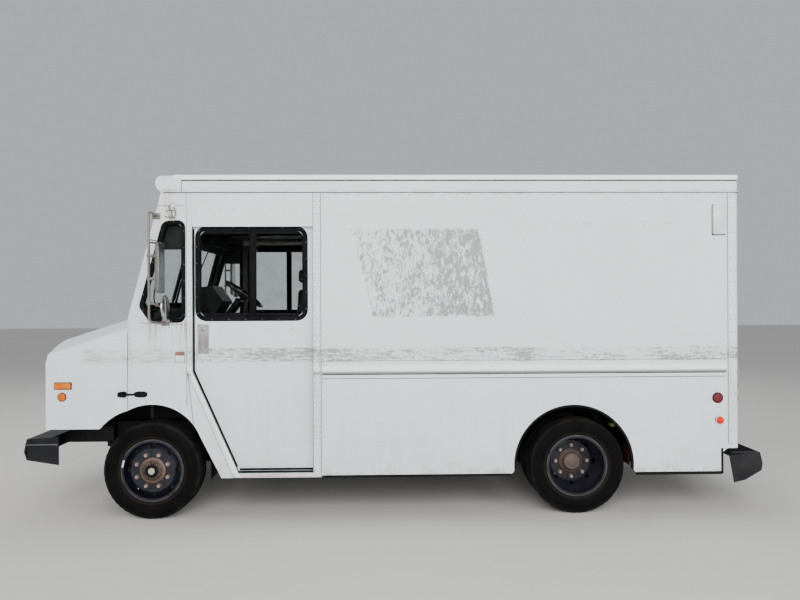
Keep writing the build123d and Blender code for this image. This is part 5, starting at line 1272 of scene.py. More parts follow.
class VAN_OT_gaskets(bpy.types.Operator):
    """Seat every window in a rubber gasket with its screws"""
    bl_idname = "stepvan.gaskets"
    bl_label = "Window gaskets"

    def execute(self, context):
        trim = context.scene.step_van_trim
        width = trim.gasket_width
        for word, side in (("left", 1), ("right", -1)):
            pane = rectangle(PANE_LOW[0], PANE_LOW[2], PANE_HIGH[0], PANE_HIGH[2])
            outline = rounded(pane, 0.062)
            body = f"sliding_door_{word}"
            middle = (DOOR_Y + DOOR_IN_Y) / 2
            half = (DOOR_Y - DOOR_IN_Y) / 2
            shape = Shape(f"door_window_gasket_{word}")
            shape.ring(outline, side_place(middle, side), self.section(half, width), "rubber")
            self.sliding_sashes(shape, side, middle)
            shape.finish(body, "dash_plastic", angle=40.0)
            self.screws(f"door_window_screws_{word}", outline, side_place(DOOR_Y + 0.0052, side),
                        width * 0.62, body, "side")
            quarter = rounded(self.quarter_corners(), 0.036)
            shape = Shape(f"quarter_window_gasket_{word}")
            wall_middle = (SIDE_Y + INNER_Y) / 2
            shape.ring(quarter, side_place(wall_middle, side),
                       self.section((SIDE_Y - INNER_Y) / 2, width * 0.8), "rubber")
            self.visor(shape, side)
            shape.finish("van", "dash_plastic", angle=40.0)
            self.screws(f"quarter_window_screws_{word}", quarter, side_place(SIDE_Y + 0.0052, side),
                        width * 0.5, "van", "side")
        self.windshield()
        self.rear_windows()
        return {"FINISHED"}

    def section(self, half, width, proud=0.0055):
        """Closed profile of a gasket that wraps a panel of the given half thickness."""
        outer = half + proud
        lip = 0.008
        return [(-lip, -half * 0.3), (-lip, half * 0.3), (0.002, outer - 0.002), (0.008, outer),
                (width * 0.42, outer - 0.0012),
                (width * 0.50, outer - 0.003), (width * 0.58, outer - 0.0012), (width - 0.005, outer),
                (width, outer - 0.003), (width, half), (width, -half), (width - 0.004, -outer), (0.006,
                                                                                                 -outer)]

    def quarter_corners(self):
        """Corners of the front quarter pane, as X and Z."""
        rear = DOOR_FRONT_X + 0.085
        top = GUTTER_Z - 0.288
        return [(rear, top + 0.024), (pillar_x(top + 0.015) - 0.107, top + 0.015),
                (pillar_x(1.779) - 0.097, 1.779),
                (pillar_x(1.634) - 0.210, 1.670), (rear, 1.670)]

    def visor(self, shape, side):
        """Dark shade across the top of the quarter window, just inside the glass."""
        top, foot, rear = GUTTER_Z - 0.270, GUTTER_Z - 0.475, DOOR_FRONT_X + 0.078
        corners = [(rear, foot), (pillar_x(foot) - 0.100, foot), (pillar_x(top) - 0.100, top), (rear, top)]
        shape.plate(corners, side_place(INNER_Y - 0.010, side), 0.004, "dash", 0.001)

    def sliding_sashes(self, shape, side, middle):
        """Frames of the two sliding panes, and the upright between them."""
        bar_x = (PANE_LOW[0] + PANE_HIGH[0]) / 2 - 0.008
        z0, z1 = PANE_LOW[2], PANE_HIGH[2]
        for x, wide, lift in ((bar_x - 0.020, 0.010, 0.006), (bar_x + 0.018, 0.011, 0.009),
                              (bar_x, 0.0165, 0.0165)):
            ys = sorted((side * (middle + lift), side * (middle - lift)))
            shape.box((x - wide, ys[0], z0 - 0.004), (x + wide, ys[1], z1 + 0.004), "rubber", 0.003)
        for z in (z0 + 0.016, z1 - 0.012):
            ys = sorted((side * (middle + 0.010), side * (middle - 0.010)))
            shape.box((PANE_LOW[0] - 0.004, ys[0], z - 0.010), (PANE_HIGH[0] + 0.004, ys[1], z + 0.010),
                      "rubber", 0.003)

    def screws(self, name, outline, place, out, body, facing):
        """Light screw heads round a gasket."""
        trim = trim_settings()
        count = len(outline)
        points = []
        for i, (u, v) in enumerate(outline):
            before, after = outline[i - 1], outline[(i + 1) % count]
            tangent = Vector((after[0] - before[0], after[1] - before[1])).normalized()
            points.append(place(u + tangent.y * out, v - tangent.x * out, 0.0))
        edges = [(i, (i + 1) % count) for i in range(count)]
        turn = (math.pi / 2, 0.0, 0.0) if facing == "side" else (0.0, math.pi / 2, 0.0)
        grown(name, trees["rows"], (points, edges), body, "mirror_steel", Pitch=trim.screw_pitch,
              Radius=0.0036,
              Height=0.0024, Facing=turn, Finish=materials["screw_metal"])

    def windshield(self):
        """Gaskets of the two windshield panes, with the wipers."""
        shape = Shape("windshield_gaskets")
        z0, z1 = 1.795, GUTTER_Z - 0.158
        for side in (1, -1):
            ys = sorted((side * 0.030, side * (SIDE_Y - 0.095)))
            outline = rounded(rectangle(ys[0], z0, ys[1], z1), 0.046)
            section = [(-0.008, -0.024), (-0.008, -0.016), (0.002, 0.003), (0.008, 0.0055), (0.022, 0.004),
                       (0.026, 0.0),
                       (0.026, -0.040), (0.018, -0.0455), (0.004, -0.044)]
            shape.ring(outline, shield_place(), section, "rubber")
        for side in (1, -1):
            foot = shield_place(0.020)(side * 0.42, 1.735, 0.0)
            elbow = shield_place(0.040)(side * 0.50, 1.86, 0.0)
            tip = shield_place(0.022)(side * 0.72, 2.22, 0.0)
            shape.turned([(-0.012, 0.018), (0.016, 0.018), (0.022, 0.010)], tuple(foot), "rubber", axis="X",
                         steps=16)
            shape.tube([foot, elbow, tip], 0.006, "rubber", sides=8)
            blade_low = shield_place(0.016)(side * 0.60, 1.95, 0.0)
            blade_high = shield_place(0.016)(side * 0.86, 2.46, 0.0)
            shape.tube([blade_low, (blade_low + blade_high) / 2, blade_high], 0.007, "rubber", sides=6)
        shape.finish("van", "dash_plastic", angle=40.0)

    def rear_windows(self):
        """Gasket round each rear door's window."""
        for word in ("left", "right"):
            lo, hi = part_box(f"rear_door_glass_{word}")
            outline = rounded(rectangle(lo[1], lo[2], hi[1], hi[2]), 0.052)
            shape = Shape(f"rear_window_gasket_{word}")
            middle = (lo[0] + hi[0]) / 2
            shape.ring(outline, rear_place(middle), self.section(0.019, 0.034), "rubber")
            shape.finish(f"rear_door_{word}", "dash_plastic", angle=40.0)


class VAN_OT_rivets(bpy.types.Operator):
    """Run rivets along the posts, seams and panels"""
    bl_idname = "stepvan.rivets"
    bl_label = "Rivets"

    def execute(self, context):
        trim = context.scene.step_van_trim
        y = SIDE_Y + 0.0006
        pitch = trim.rivet_pitch
        z_low, z_high = SILL_Z + 0.02, GUTTER_Z - 0.03
        fine = [((x, y + 0.0025, z_low), (x, y + 0.0025, z_high)) for x in (POST_X + 0.012, POST_X + 0.050)]
        fine += [((DOOR_FRONT_X + 0.022, y + 0.0025, KICK_TOP_Z), (DOOR_FRONT_X + 0.022, y + 0.0025, z_high))]
        self.row("post_rivets", fine, pitch, trim.rivet_radius, 0.0028)
        wide = [((DOOR_REAR_X + 0.03, y, GUTTER_Z - 0.150), (DOOR_FRONT_X - 0.03, y, GUTTER_Z - 0.150))]
        wide += [((x, y, 0.60), (x, y, z_high)) for x in (SIDE_REAR_X - 0.030, SIDE_REAR_X - 0.072)]
        wide += [((SIDE_REAR_X + 0.04, y, GUTTER_Z - 0.022), (POST_X - 0.02, y, GUTTER_Z - 0.022)),
                 ((SIDE_REAR_X + 0.10, y, 0.385), (-2.05, y, 0.385)), ((-0.93, y, 0.385),
                                                                       (POST_X - 0.02, y, 0.385)),
                 ((SEAM_X - 0.018, y, 0.96), (SEAM_X - 0.018, y, 1.62)), ((1.80, y, 1.600), (2.12, y, 1.600)),
                 ((1.80, y, GUTTER_Z - 0.112), (1.93, y, GUTTER_Z - 0.112))]
        self.row("panel_rivets", wide, pitch * 2, trim.rivet_radius, 0.0026)
        faint = [((x, y - 0.0004, 1.50), (x, y - 0.0004, GUTTER_Z - 0.10)) for x in (-2.25, -1.65, -1.05,
                                                                                     -0.45, 0.15)]
        faint += [((x, y - 0.0004, 0.45), (x, y - 0.0004, 1.14)) for x in (-2.25, -0.45, 0.15)]
        self.row("stud_rivets", faint, pitch * 2, 0.0042, 0.0012)
        rub = [((SIDE_REAR_X + 0.03, y, z), (POST_X - 0.03, y, z)) for z in (1.186, 1.300)]
        self.row("rub_rail_rivets", rub, 0.150, 0.0050, 0.0024)
        door_y = DOOR_Y + 0.0002
        door_rows = [((DOOR_REAR_X + 0.05, door_y, 0.452), (1.33, door_y, 0.452)),
                     ((1.11, door_y, 0.56), (1.11, door_y, 1.28)), ((0.80, door_y, 1.585),
                                                                    (1.60, door_y, 1.585))]
        for word, side in (("left", 1), ("right", -1)):
            lines = [tuple((p[0], side * p[1], p[2]) for p in line) for line in door_rows]
            grown(f"door_rivets_{word}", trees["rows"], rows(*lines), f"sliding_door_{word}", "body_paint",
                  Pitch=0.1,
                  Radius=0.0046, Height=0.0016, Facing=(math.pi / 2, 0.0,
                                                        0.0), Finish=materials["shaded_rivet_paint"])
        self.rear_rows(trim)
        return {"FINISHED"}

    def row(self, name, lines, pitch, radius, height):
        """One piece of rivet rows."""
        grown(name, trees["rows"], rows(*lines), "van", "body_paint", mirror=True, Pitch=pitch, Radius=radius,
              Height=height, Facing=(math.pi / 2, 0.0, 0.0), Finish=materials["shaded_rivet_paint"])

    def rear_rows(self, trim):
        """Rivets on the rear frame and doors."""
        x = REAR_X - 0.0006
        lines = [((x, 1.148, 0.60), (x, 1.148, GUTTER_Z - 0.03)),
                 ((x, 0.02, GUTTER_Z - 0.03), (x, 1.05, GUTTER_Z - 0.03)), ((x, 0.02, 2.52), (x, 1.05, 2.52))]
        grown("rear_frame_rivets", trees["rows"], rows(*lines), "van", "body_paint", mirror=True,
              Pitch=trim.rivet_pitch * 2, Radius=trim.rivet_radius, Height=0.0026, Facing=(0.0, math.pi / 2,
                                                                                           0.0),
              Finish=materials["shaded_rivet_paint"])
        for word, side in (("left", 1), ("right", -1)):
            edge = [((x, side * 0.04, 0.84), (x, side * 0.04, 2.45)),
                    ((x, side * 1.03, 0.84), (x, side * 1.03, 2.45)),
                    ((x, side * 0.08, 0.83), (x, side * 0.99, 0.83)), ((x, side * 0.08, 2.46),
                                                                       (x, side * 0.99, 2.46))]
            grown(f"rear_door_rivets_{word}", trees["rows"], rows(*edge), f"rear_door_{word}", "body_paint",
                  Pitch=0.1, Radius=0.0050, Height=0.0020, Facing=(0.0, math.pi / 2, 0.0),
                  Finish=materials["shaded_rivet_paint"])


class VAN_OT_body_trim(bpy.types.Operator):
    """Add gutters, roof mouldings, posts, sills, kick strips and the small side fittings"""
    bl_idname = "stepvan.body_trim"
    bl_label = "Body trim"

    def execute(self, context):
        self.roof_edge()
        self.posts()
        self.sills()
        self.rub_rail_ends()
        self.side_fittings()
        return {"FINISHED"}

    def roof_edge(self):
        """Rounded moulding along each roof edge in the paler highlight paint, over a black strip that is a painted
        shadow, with a drip gutter below.
        """
        shape = Shape("roof_edge_moulding")
        y = SIDE_Y
        start, end = REAR_X + 0.012, CAP_X - 0.002
        bull = [(0.000, -0.042), (0.009, -0.040), (0.013, -0.030), (0.013, -0.014), (0.009, -0.003),
                (0.002, 0.0005), (-0.02, -0.001),
                (-0.02, -0.042)]
        # The moulding is drawn in the highlight paint: a painted highlight.
        for x0, x1 in ((start, end), (CAP_X + 0.002, CAP_X + 0.060)):
            points = [Vector((x, y + a, ROOF_Z + b)) for x in (x0, x1) for a, b in bull]
            count = len(bull)
            faces = [list(range(count)), list(range(count, 2 * count))]
            faces += [[k, (k + 1) % count, count + (k + 1) % count, count + k] for k in range(count)]
            shape.add(points, faces, "highlight_paint")
        # Painted shadow: a black strip just under the moulding.
        shape.box((start, y - 0.002, ROOF_Z - 0.050), (end, y + 0.0040, ROOF_Z - 0.042), "seal_black", 0.001)
        shape.box((REAR_X + 0.004, y - 0.004, GUTTER_Z - 0.004),
                  (CAP_X + 0.15, y + 0.010, GUTTER_Z + 0.003), "trim_paint", 0.002)
        shape.box((REAR_X + 0.004, y - 0.004, GUTTER_Z - 0.009),
                  (CAP_X + 0.15, y + 0.0025, GUTTER_Z - 0.003), "seal_black", 0.001)
        shape.box((CAP_X - 0.0022, y - 0.004, GUTTER_Z + 0.004),
                  (CAP_X + 0.0022, y + 0.0015, ROOF_Z - 0.044), "seal_black", 0.0006)
        shape.finish("van", "body_paint", mirror=True)
        back = Shape("rear_roof_moulding")
        for z0, z1, out, material in ((ROOF_Z - 0.030, ROOF_Z - 0.004, 0.008, "cargo_paint"),
                                      (GUTTER_Z - 0.004, GUTTER_Z + 0.004, 0.006, "trim_paint")):
            back.box((REAR_X - out, -y + 0.02, z0), (REAR_X + 0.004, y - 0.02, z1), material, 0.004)
        back.finish("van", "body_paint")

    def posts(self):
        """Door posts as raised strips, with the slanted kick strip and its painted highlight strips, dark seams and
        the pillar cover.
        """
        shape = Shape("side_posts")
        place = side_place(SIDE_Y - 0.0005)
        top = GUTTER_Z - 0.012
        shape.plate(rectangle(POST_X + 0.003, SILL_Z + 0.002, DOOR_REAR_X - 0.004, top), place, 0.0030,
                    "cab_paint")
        shape.plate(rectangle(DOOR_FRONT_X + 0.003, KICK_TOP_Z, DOOR_FRONT_X + 0.044, top), place, 0.0030,
                    "cab_paint")
        foot = SILL_Z + 0.002
        kick = [(kick_x(foot) + 0.006, foot), (kick_x(foot) + 0.056, foot),
                (DOOR_FRONT_X + 0.044, KICK_TOP_Z),
                (DOOR_FRONT_X + 0.003, KICK_TOP_Z)]
        shape.plate(kick, place, 0.0042, "trim_paint")
        # Painted highlights: two pale strips down the kick strip.
        for out, wide, lift in ((0.004, 0.019, 0.0095), (0.034, 0.006, 0.0058)):
            bright = [(kick_x(foot) + out, foot + 0.002), (kick_x(foot) + out + wide, foot + 0.002),
                      (DOOR_FRONT_X + out + wide - 0.002, KICK_TOP_Z), (DOOR_FRONT_X + out, KICK_TOP_Z)]
            shape.plate(bright, place, lift, "highlight_paint", 0.002)
        seams = [((DOOR_FRONT_X + 0.0455, SILL_Z + 0.60), (DOOR_FRONT_X + 0.0455, top)),
                 ((POST_X, SILL_Z + 0.012), (POST_X, top)), ((DOOR_REAR_X - 0.003, SILL_Z + 0.04),
                                                             (DOOR_REAR_X - 0.003, top)),
                 ((kick_x(foot) + 0.0275, foot), (DOOR_FRONT_X + 0.0275, KICK_TOP_Z)),
                 ((kick_x(foot) + 0.0575, foot), (DOOR_FRONT_X + 0.0455, KICK_TOP_Z)),
                 ((1.705, 0.78), (1.745, 1.16)), ((1.745, 1.16), (1.7585, 1.25)),
                 ((1.776, 1.622), (2.150, 1.640)), ((1.776, GUTTER_Z - 0.116),
                                                    (pillar_x(GUTTER_Z - 0.116), GUTTER_Z - 0.116)),
                 ((SIDE_REAR_X - 0.008, 0.60), (SIDE_REAR_X - 0.008, top))]
        for (x0, z0), (x1, z1) in seams:
            self.seam(shape, x0, z0, x1, z1, lift=0.0032)
        self.brackets(shape)
        shape.finish("van", "body_paint", mirror=True)

    def brackets(self, shape):
        """Rusty straps and a lamp stub left high on the cab's corner."""
        y = SIDE_Y
        for path in (((1.925, 2.560), (1.885, 2.572), (1.842, 2.560)),
                     ((1.905, 2.602), (1.880, 2.560), (1.868, 2.500)),
                     ((1.860, 2.618), (1.852, 2.580), (1.846, 2.520)), ((1.930, 2.516), (1.890, 2.508),
                                                                        (1.850, 2.512))):
            shape.tube([Vector((x, y + 0.005, z)) for x, z in path], 0.0048, "arm_steel", sides=8)
        shape.turned([(y - 0.001, 0.017), (y + 0.010, 0.016), (y + 0.016, 0.011), (y + 0.017, 0.0004)],
                     (1.866, 0, 2.604), "plate_pale", steps=20)

    def seam(self, shape, x0, z0, x1, z1, width=0.0030, lift=0.0006):
        """A thin dark line where two sheets lap; also drawn as a painted shadow line under the rub rail."""
        along = Vector((x1 - x0, z1 - z0)).normalized()
        out = Vector((along.y, -along.x)) * width / 2
        corners = [(x0 - out.x, z0 - out.y), (x0 + out.x, z0 + out.y), (x1 + out.x, z1 + out.y),
                   (x1 - out.x, z1 - out.y)]
        shape.plate(corners, side_place(SIDE_Y - 0.001), 0.001 + lift, "seal_black", 0.0002)

    def sills(self):
        """Pale sill under each door, and a black weather strip along the door's foot."""
        shape = Shape("door_sills")
        y = SIDE_Y
        front = kick_x(SILL_Z) - 0.01
        shape.box((DOOR_REAR_X, y - 0.062, SILL_Z + 0.004), (front, y + 0.004, SILL_Z + 0.030),
                  "sill_paint", 0.006, 3)
        # Painted highlight: a pale line along the sill's edge.
        shape.box((DOOR_REAR_X, y - 0.006, SILL_Z + 0.0165), (front, y + 0.0056, SILL_Z + 0.0195),
                  "highlight_paint", 0.001)
        shape.box((DOOR_REAR_X, y - 0.064, SILL_Z + 0.029), (front - 0.004, y - 0.014, SILL_Z + 0.037),
                  "seal_black", 0.002)
        shape.box((DOOR_REAR_X - 0.05, y - 0.03, SILL_Z - 0.010), (front + 0.09, y - 0.004, SILL_Z + 0.001),
                  "seal_black", 0.002)
        self.body_edges(shape)
        shape.finish("van", "chassis_black", mirror=True)
        for word, side in (("left", 1), ("right", -1)):
            door = Shape(f"door_foot_strip_{word}")
            foot = low("left_door")[2]
            ys = sorted((side * (DOOR_Y - 0.003), side * (DOOR_Y + 0.006)))
            door.box((DOOR_REAR_X, ys[0], foot + 0.004), (kick_x(foot) - 0.004, ys[1], foot + 0.022),
                     "rubber", 0.003)
            ys = sorted((side * (DOOR_Y - 0.003), side * (DOOR_Y + 0.0035)))
            door.box((DOOR_REAR_X, ys[0], foot + 0.022), (kick_x(foot) - 0.002, ys[1], foot + 0.036),
                     "trim_paint", 0.002)
            # Painted shade: the black rubber strips up the door's front edge, on the kick slope and the upright,
            # stand for the shade in the recess at the opening's edge.
            place = side_place(DOOR_Y - 0.001, side)
            seal = [(kick_x(foot + 0.036) - 0.009, foot + 0.036),
                    (kick_x(foot + 0.036) + 0.004, foot + 0.036),
                    (DOOR_FRONT_X + 0.004, KICK_TOP_Z), (DOOR_FRONT_X - 0.009, KICK_TOP_Z)]
            door.plate(seal, place, 0.005, "rubber", 0.001)
            door.plate(rectangle(DOOR_FRONT_X - 0.008, KICK_TOP_Z - 0.001, DOOR_FRONT_X + 0.004,
                                 high("left_door")[2] - 0.03), place,
                       0.005, "rubber", 0.001)
            self.handle(door, side)
            door.finish(f"sliding_door_{word}", "body_paint")

    def body_edges(self, shape):
        """Thick black edge round the rear arch, along the cargo side's foot and up its rear notch."""
        start = math.asin((BODY_LOW_Z + 0.034 - ARCH_Z) / ARCH_R)
        arch = []
        for k in range(41):
            turn = start + (math.pi - 2 * start) * k / 40
            arch.append((ARCH_X + (ARCH_R - 0.008) * math.cos(turn),
                         ARCH_Z + (ARCH_R - 0.008) * math.sin(turn)))
        self.strip(shape, arch, 0.018)
        foot = math.sqrt(ARCH_R ** 2 - (BODY_LOW_Z - ARCH_Z) ** 2)
        low_z = BODY_LOW_Z - 0.008
        notch = SIDE_REAR_X + 0.052
        self.strip(shape, [(POST_X - 0.01, low_z), (ARCH_X + foot + 0.030, low_z)], 0.022)
        self.strip(shape, [(ARCH_X - foot - 0.030, low_z), (notch - 0.006, low_z)], 0.026)
        self.strip(shape, [(notch - 0.007, low_z - 0.008), (notch - 0.007, 0.56)], 0.020)

    def strip(self, shape, path, width):
        """A flat bar of square section along a path, flush with the outer face."""
        count = len(path)
        points = []
        for i, (u, v) in enumerate(path):
            before, after = path[max(i - 1, 0)], path[min(i + 1, count - 1)]
            tangent = Vector((after[0] - before[0], after[1] - before[1])).normalized()
            out = Vector((tangent.y, -tangent.x)) * width / 2
            for sign, y in ((1, SIDE_Y + 0.001), (1, SIDE_Y - 0.028), (-1, SIDE_Y - 0.028),
                            (-1, SIDE_Y + 0.001)):
                points.append((u + sign * out.x, y, v + sign * out.y))
        faces = [[0, 1, 2, 3], [4 * count - 1, 4 * count - 2, 4 * count - 3, 4 * count - 4]]
        for i in range(count - 1):
            faces += [[4 * i + k, 4 * i + (k + 1) % 4, 4 * i + 4 + (k + 1) % 4,
                       4 * i + 4 + k] for k in range(4)]
        shape.add(points, faces, "seal_black", smooth=False)

    def handle(self, shape, side):
        """Recessed grey latch: plate, upper thumb piece and a pull loop."""
        x0, x1, z0, z1 = 1.590, 1.684, 1.379, 1.622
        place = side_place(DOOR_Y - 0.0005, side)
        shape.plate(rounded(rectangle(x0, z0, x1, z1), 0.010, 3), place, 0.0040, "latch_metal")
        shape.plate(rounded(rectangle(x0 + 0.014, z0 + 0.030, x1 - 0.014, z1 - 0.085), 0.008, 3),
                    side_place(DOOR_Y + 0.0030, side), 0.0012, "steel")
        for z in (z0 + 0.034, z1 - 0.092):
            ys = sorted((side * (DOOR_Y + 0.003), side * (DOOR_Y + 0.0085)))
            shape.box((x0 + 0.016, ys[0], z - 0.005), (x1 - 0.016, ys[1], z + 0.005), "latch_metal", 0.002)
        for x in (x0 + 0.022, x1 - 0.022):
            ys = sorted((side * (DOOR_Y + 0.003), side * (DOOR_Y + 0.0078)))
            shape.box((x - 0.005, ys[0], z0 + 0.030), (x + 0.005, ys[1], z1 - 0.088), "screw_metal", 0.002)
        knob = (side * (DOOR_Y + 0.002))
        profile = [(0.0, 0.016), (side * 0.004, 0.016), (side * 0.0065, 0.010), (side * 0.0068, 0.0004)]
        shape.turned(profile, ((x0 + x1) / 2, knob, z1 - 0.045), "steel", steps=20)
        for x in (x0 + 0.012, x1 - 0.012):
            for z in (z0 + 0.012, z1 - 0.012):
                shape.turned([(0.0, 0.0045), (side * 0.0022, 0.0036), (side * 0.0024, 0.0004)],
                             (x, side * (DOOR_Y + 0.003), z), "screw_metal", steps=10)

    def rub_rail_ends(self):
        """Flange under the rub rail, a painted shadow line beneath the rail and a painted highlight strip along it,
        and its capped ends.
        """
        shape = Shape("rub_rail_flanges")
        x0, x1 = SIDE_REAR_X + 0.010, POST_X - 0.010
        place = side_place(SIDE_Y - 0.0005)
        shape.plate(rectangle(x0, 1.168, x1, 1.206), place, 0.0022, "cargo_paint", 0.001)
        shape.plate(rectangle(x0, 1.284, x1, 1.312), place, 0.0020, "cargo_paint", 0.001)
        self.seam(shape, x0, 1.1665, x1, 1.1665, 0.0050, 0.0024)
        # Painted shadow: the wider dark line just under the rail.
        self.seam(shape, x0, 1.2010, x1, 1.2010, 0.0080, 0.0024)
        self.seam(shape, x0, 1.3135, x1, 1.3135, 0.0026, 0.0024)
        # Painted highlight: a pale strip along the rail's face.
        shape.box((x0, SIDE_Y + 0.006, 1.2660), (x1, SIDE_Y + 0.0225, 1.2780), "highlight_paint", 0.005)
        for x in (x0 + 0.001, x1 - 0.001):
            cap = [(-0.004, 0.0004), (-0.004, 0.036), (0.004, 0.036), (0.004, 0.0004)]
            shape.turned([(x + a, r) for a, r in cap], (0, SIDE_Y - 0.012, 1.2455), "trim_paint", axis="X",
                         steps=24)
        shape.finish("van", "body_paint", mirror=True)

    def side_fittings(self):
        """Pale box high at the rear, red lamp and reflector, and the decal square."""
        shape = Shape("rear_side_lamps")
        y = SIDE_Y
        for x, z, radius, lens, rim in ((-2.680, 0.985, 0.040, "dark_red_lens", "rubber"),
                                        (-2.697, 0.797, 0.034, "red_lens", "trim_paint")):
            shape.turned([(y - 0.001, radius + 0.006), (y + 0.006, radius + 0.006),
                          (y + 0.009, radius + 0.001), (y + 0.009, 0.0004)],
                         (x, 0, z), rim, steps=36)
            shape.turned([(y + 0.007, radius), (y + 0.013, radius - 0.003), (y + 0.017, radius * 0.6),
                          (y + 0.0185, 0.0004)],
                         (x, 0, z), lens, steps=36)
        shape.finish("van", "lamp_red", mirror=True)
        box = Shape("upper_side_boxes")
        box.box((-2.745, y - 0.004, 2.360), (-2.640, y + 0.026, 2.611), "plate_pale", 0.012, 3)
        # Painted shadow: a black rim a little larger than the pale box, widest below it, stands for the box's shadow
        # on the wall.
        box.box((-2.751, y - 0.004, 2.353), (-2.636, y + 0.004, 2.613), "rubber", 0.003)
        box.finish("van", "body_paint", mirror=True)
        number = Shape("blank_number_plates")
        number.plate(rounded(rectangle(1.775, 1.309, 1.858, 1.401), 0.004, 2), side_place(y - 0.0003),
                     0.0016, "plate_grey", 0.0004)
        number.plate(rectangle(1.781, 1.315, 1.852, 1.366), side_place(y + 0.0011), 0.0006, "plate_pale",
                     0.0002)
        number.plate(rectangle(1.781, 1.369, 1.852, 1.395), side_place(y + 0.0011), 0.0006, "plate_red",
                     0.0002)
        number.finish("van", "body_paint", mirror=True)


class VAN_OT_hood_fittings(bpy.types.Operator):
    """Add side marker lamps, latches, headlamp bezels and the grille surround"""
    bl_idname = "stepvan.hood_fittings"
    bl_label = "Hood fittings"

    def execute(self, context):
        y = SIDE_Y
        marker = Shape("hood_marker_lamps")
        marker.box((2.7005, y - 0.002, 1.092), (2.8455, y + 0.012, 1.153), "rubber", 0.006, 2)
        marker.box((2.7065, y + 0.006, 1.098), (2.8395, y + 0.021, 1.148), "amber_lens", 0.008, 3)
        marker.turned([(y - 0.001, 0.037), (y + 0.005, 0.037), (y + 0.007, 0.033), (y + 0.007, 0.0004)],
                      (2.7815, 0, 1.031), "rubber",
                      steps=36)
        marker.turned([(y + 0.006, 0.032), (y + 0.012, 0.029), (y + 0.016, 0.018), (y + 0.017, 0.0004)],
                      (2.7815, 0, 1.031), "amber_lens",
                      steps=36)
        marker.finish("hood", "lamp_clear", mirror=True)
        self.latches()
        self.bezels()
        return {"FINISHED"}

    def latches(self):
        """Rubber latches that hold the hood to the cab: the pull rides on the hood, the keeper on the cab."""
        y, z = SIDE_Y, 1.048
        pull = Shape("hood_latch_pulls")
        self.bar(pull, SEAM_X + 0.008, SEAM_X + 0.082, z + 0.001, 0.022, y - 0.002, y + 0.022)
        self.bar(pull, SEAM_X + 0.014, SEAM_X + 0.046, z + 0.001, 0.026, y - 0.002, y + 0.014)
        self.bar(pull, SEAM_X - 0.052, SEAM_X + 0.016, z, 0.008, y + 0.006, y + 0.016)
        pull.finish("hood", "dash_plastic", mirror=True)
        keeper = Shape("hood_latch_keepers")
        self.bar(keeper, SEAM_X - 0.160, SEAM_X - 0.046, z, 0.021, y - 0.002, y + 0.004)
        self.bar(keeper, SEAM_X - 0.150, SEAM_X - 0.058, z, 0.026, y - 0.002, y + 0.0045)
        self.bar(keeper, SEAM_X - 0.156, SEAM_X - 0.066, z, 0.018, y - 0.002, y + 0.020)
        keeper.finish("van", "dash_plastic", mirror=True)

    def bar(self, shape, x0, x1, z, half, y0, y1):
        """A short rubber bar with round ends."""
        outline = rounded(rectangle(x0, z - half, x1, z + half), min(half, (x1 - x0) / 2) * 0.96, 6)
        shape.plate(outline, side_place(y0), y1 - y0, "rubber", 0.004)

    def bezels(self):
        """Square headlamp bezels with a round sealed lamp and a turn signal, and a raised grille frame."""
        shape = Shape("headlamp_bezels")
        lo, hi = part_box("headlamps")
        centre_z = (lo[2] + hi[2]) / 2
        for side in (1, -1):
            ys = sorted((side * (hi[1] - 0.230), side * hi[1]))
            outline = rounded(rectangle(ys[0] + 0.004, lo[2] + 0.004, ys[1] - 0.004, hi[2] - 0.004), 0.018, 4)
            section = [(-0.012, 0.0), (-0.012, 0.005), (0.0, 0.010), (0.014, 0.009), (0.018, 0.0)]
            shape.ring(outline, front_place(NOSE_X - 0.001), section, "steel")
            lamp_y = side * (hi[1] - 0.095)
            dome = [(NOSE_X - 0.004, 0.074), (NOSE_X + 0.002, 0.072), (NOSE_X + 0.009, 0.050),
                    (NOSE_X + 0.011, 0.025), (NOSE_X + 0.012, 0.0004)]
            shape.turned(dome, (0, lamp_y, centre_z), "lamp_glass", axis="X", steps=36)
            shape.turned([(NOSE_X - 0.006, 0.078), (NOSE_X + 0.004, 0.080), (NOSE_X + 0.005, 0.074),
                          (NOSE_X - 0.002, 0.073)], (0, lamp_y, centre_z),
                         "steel", axis="X", steps=36, closed=True)
            turn_ys = sorted((side * (hi[1] - 0.222), side * (hi[1] - 0.180)))
            shape.box((NOSE_X - 0.006, turn_ys[0], lo[2] + 0.016),
                      (NOSE_X + 0.008, turn_ys[1], hi[2] - 0.016), "amber_lens", 0.008, 3)
        g_lo, g_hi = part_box("grille")
        outline = rounded(rectangle(g_lo[1], g_lo[2], g_hi[1], g_hi[2]), 0.015, 3)
        shape.ring(outline, front_place(NOSE_X - 0.001),
                   [(-0.006, 0.0), (-0.004, 0.006), (0.010, 0.008), (0.016, 0.0)], "steel")
        shape.finish("hood", "grille_black")


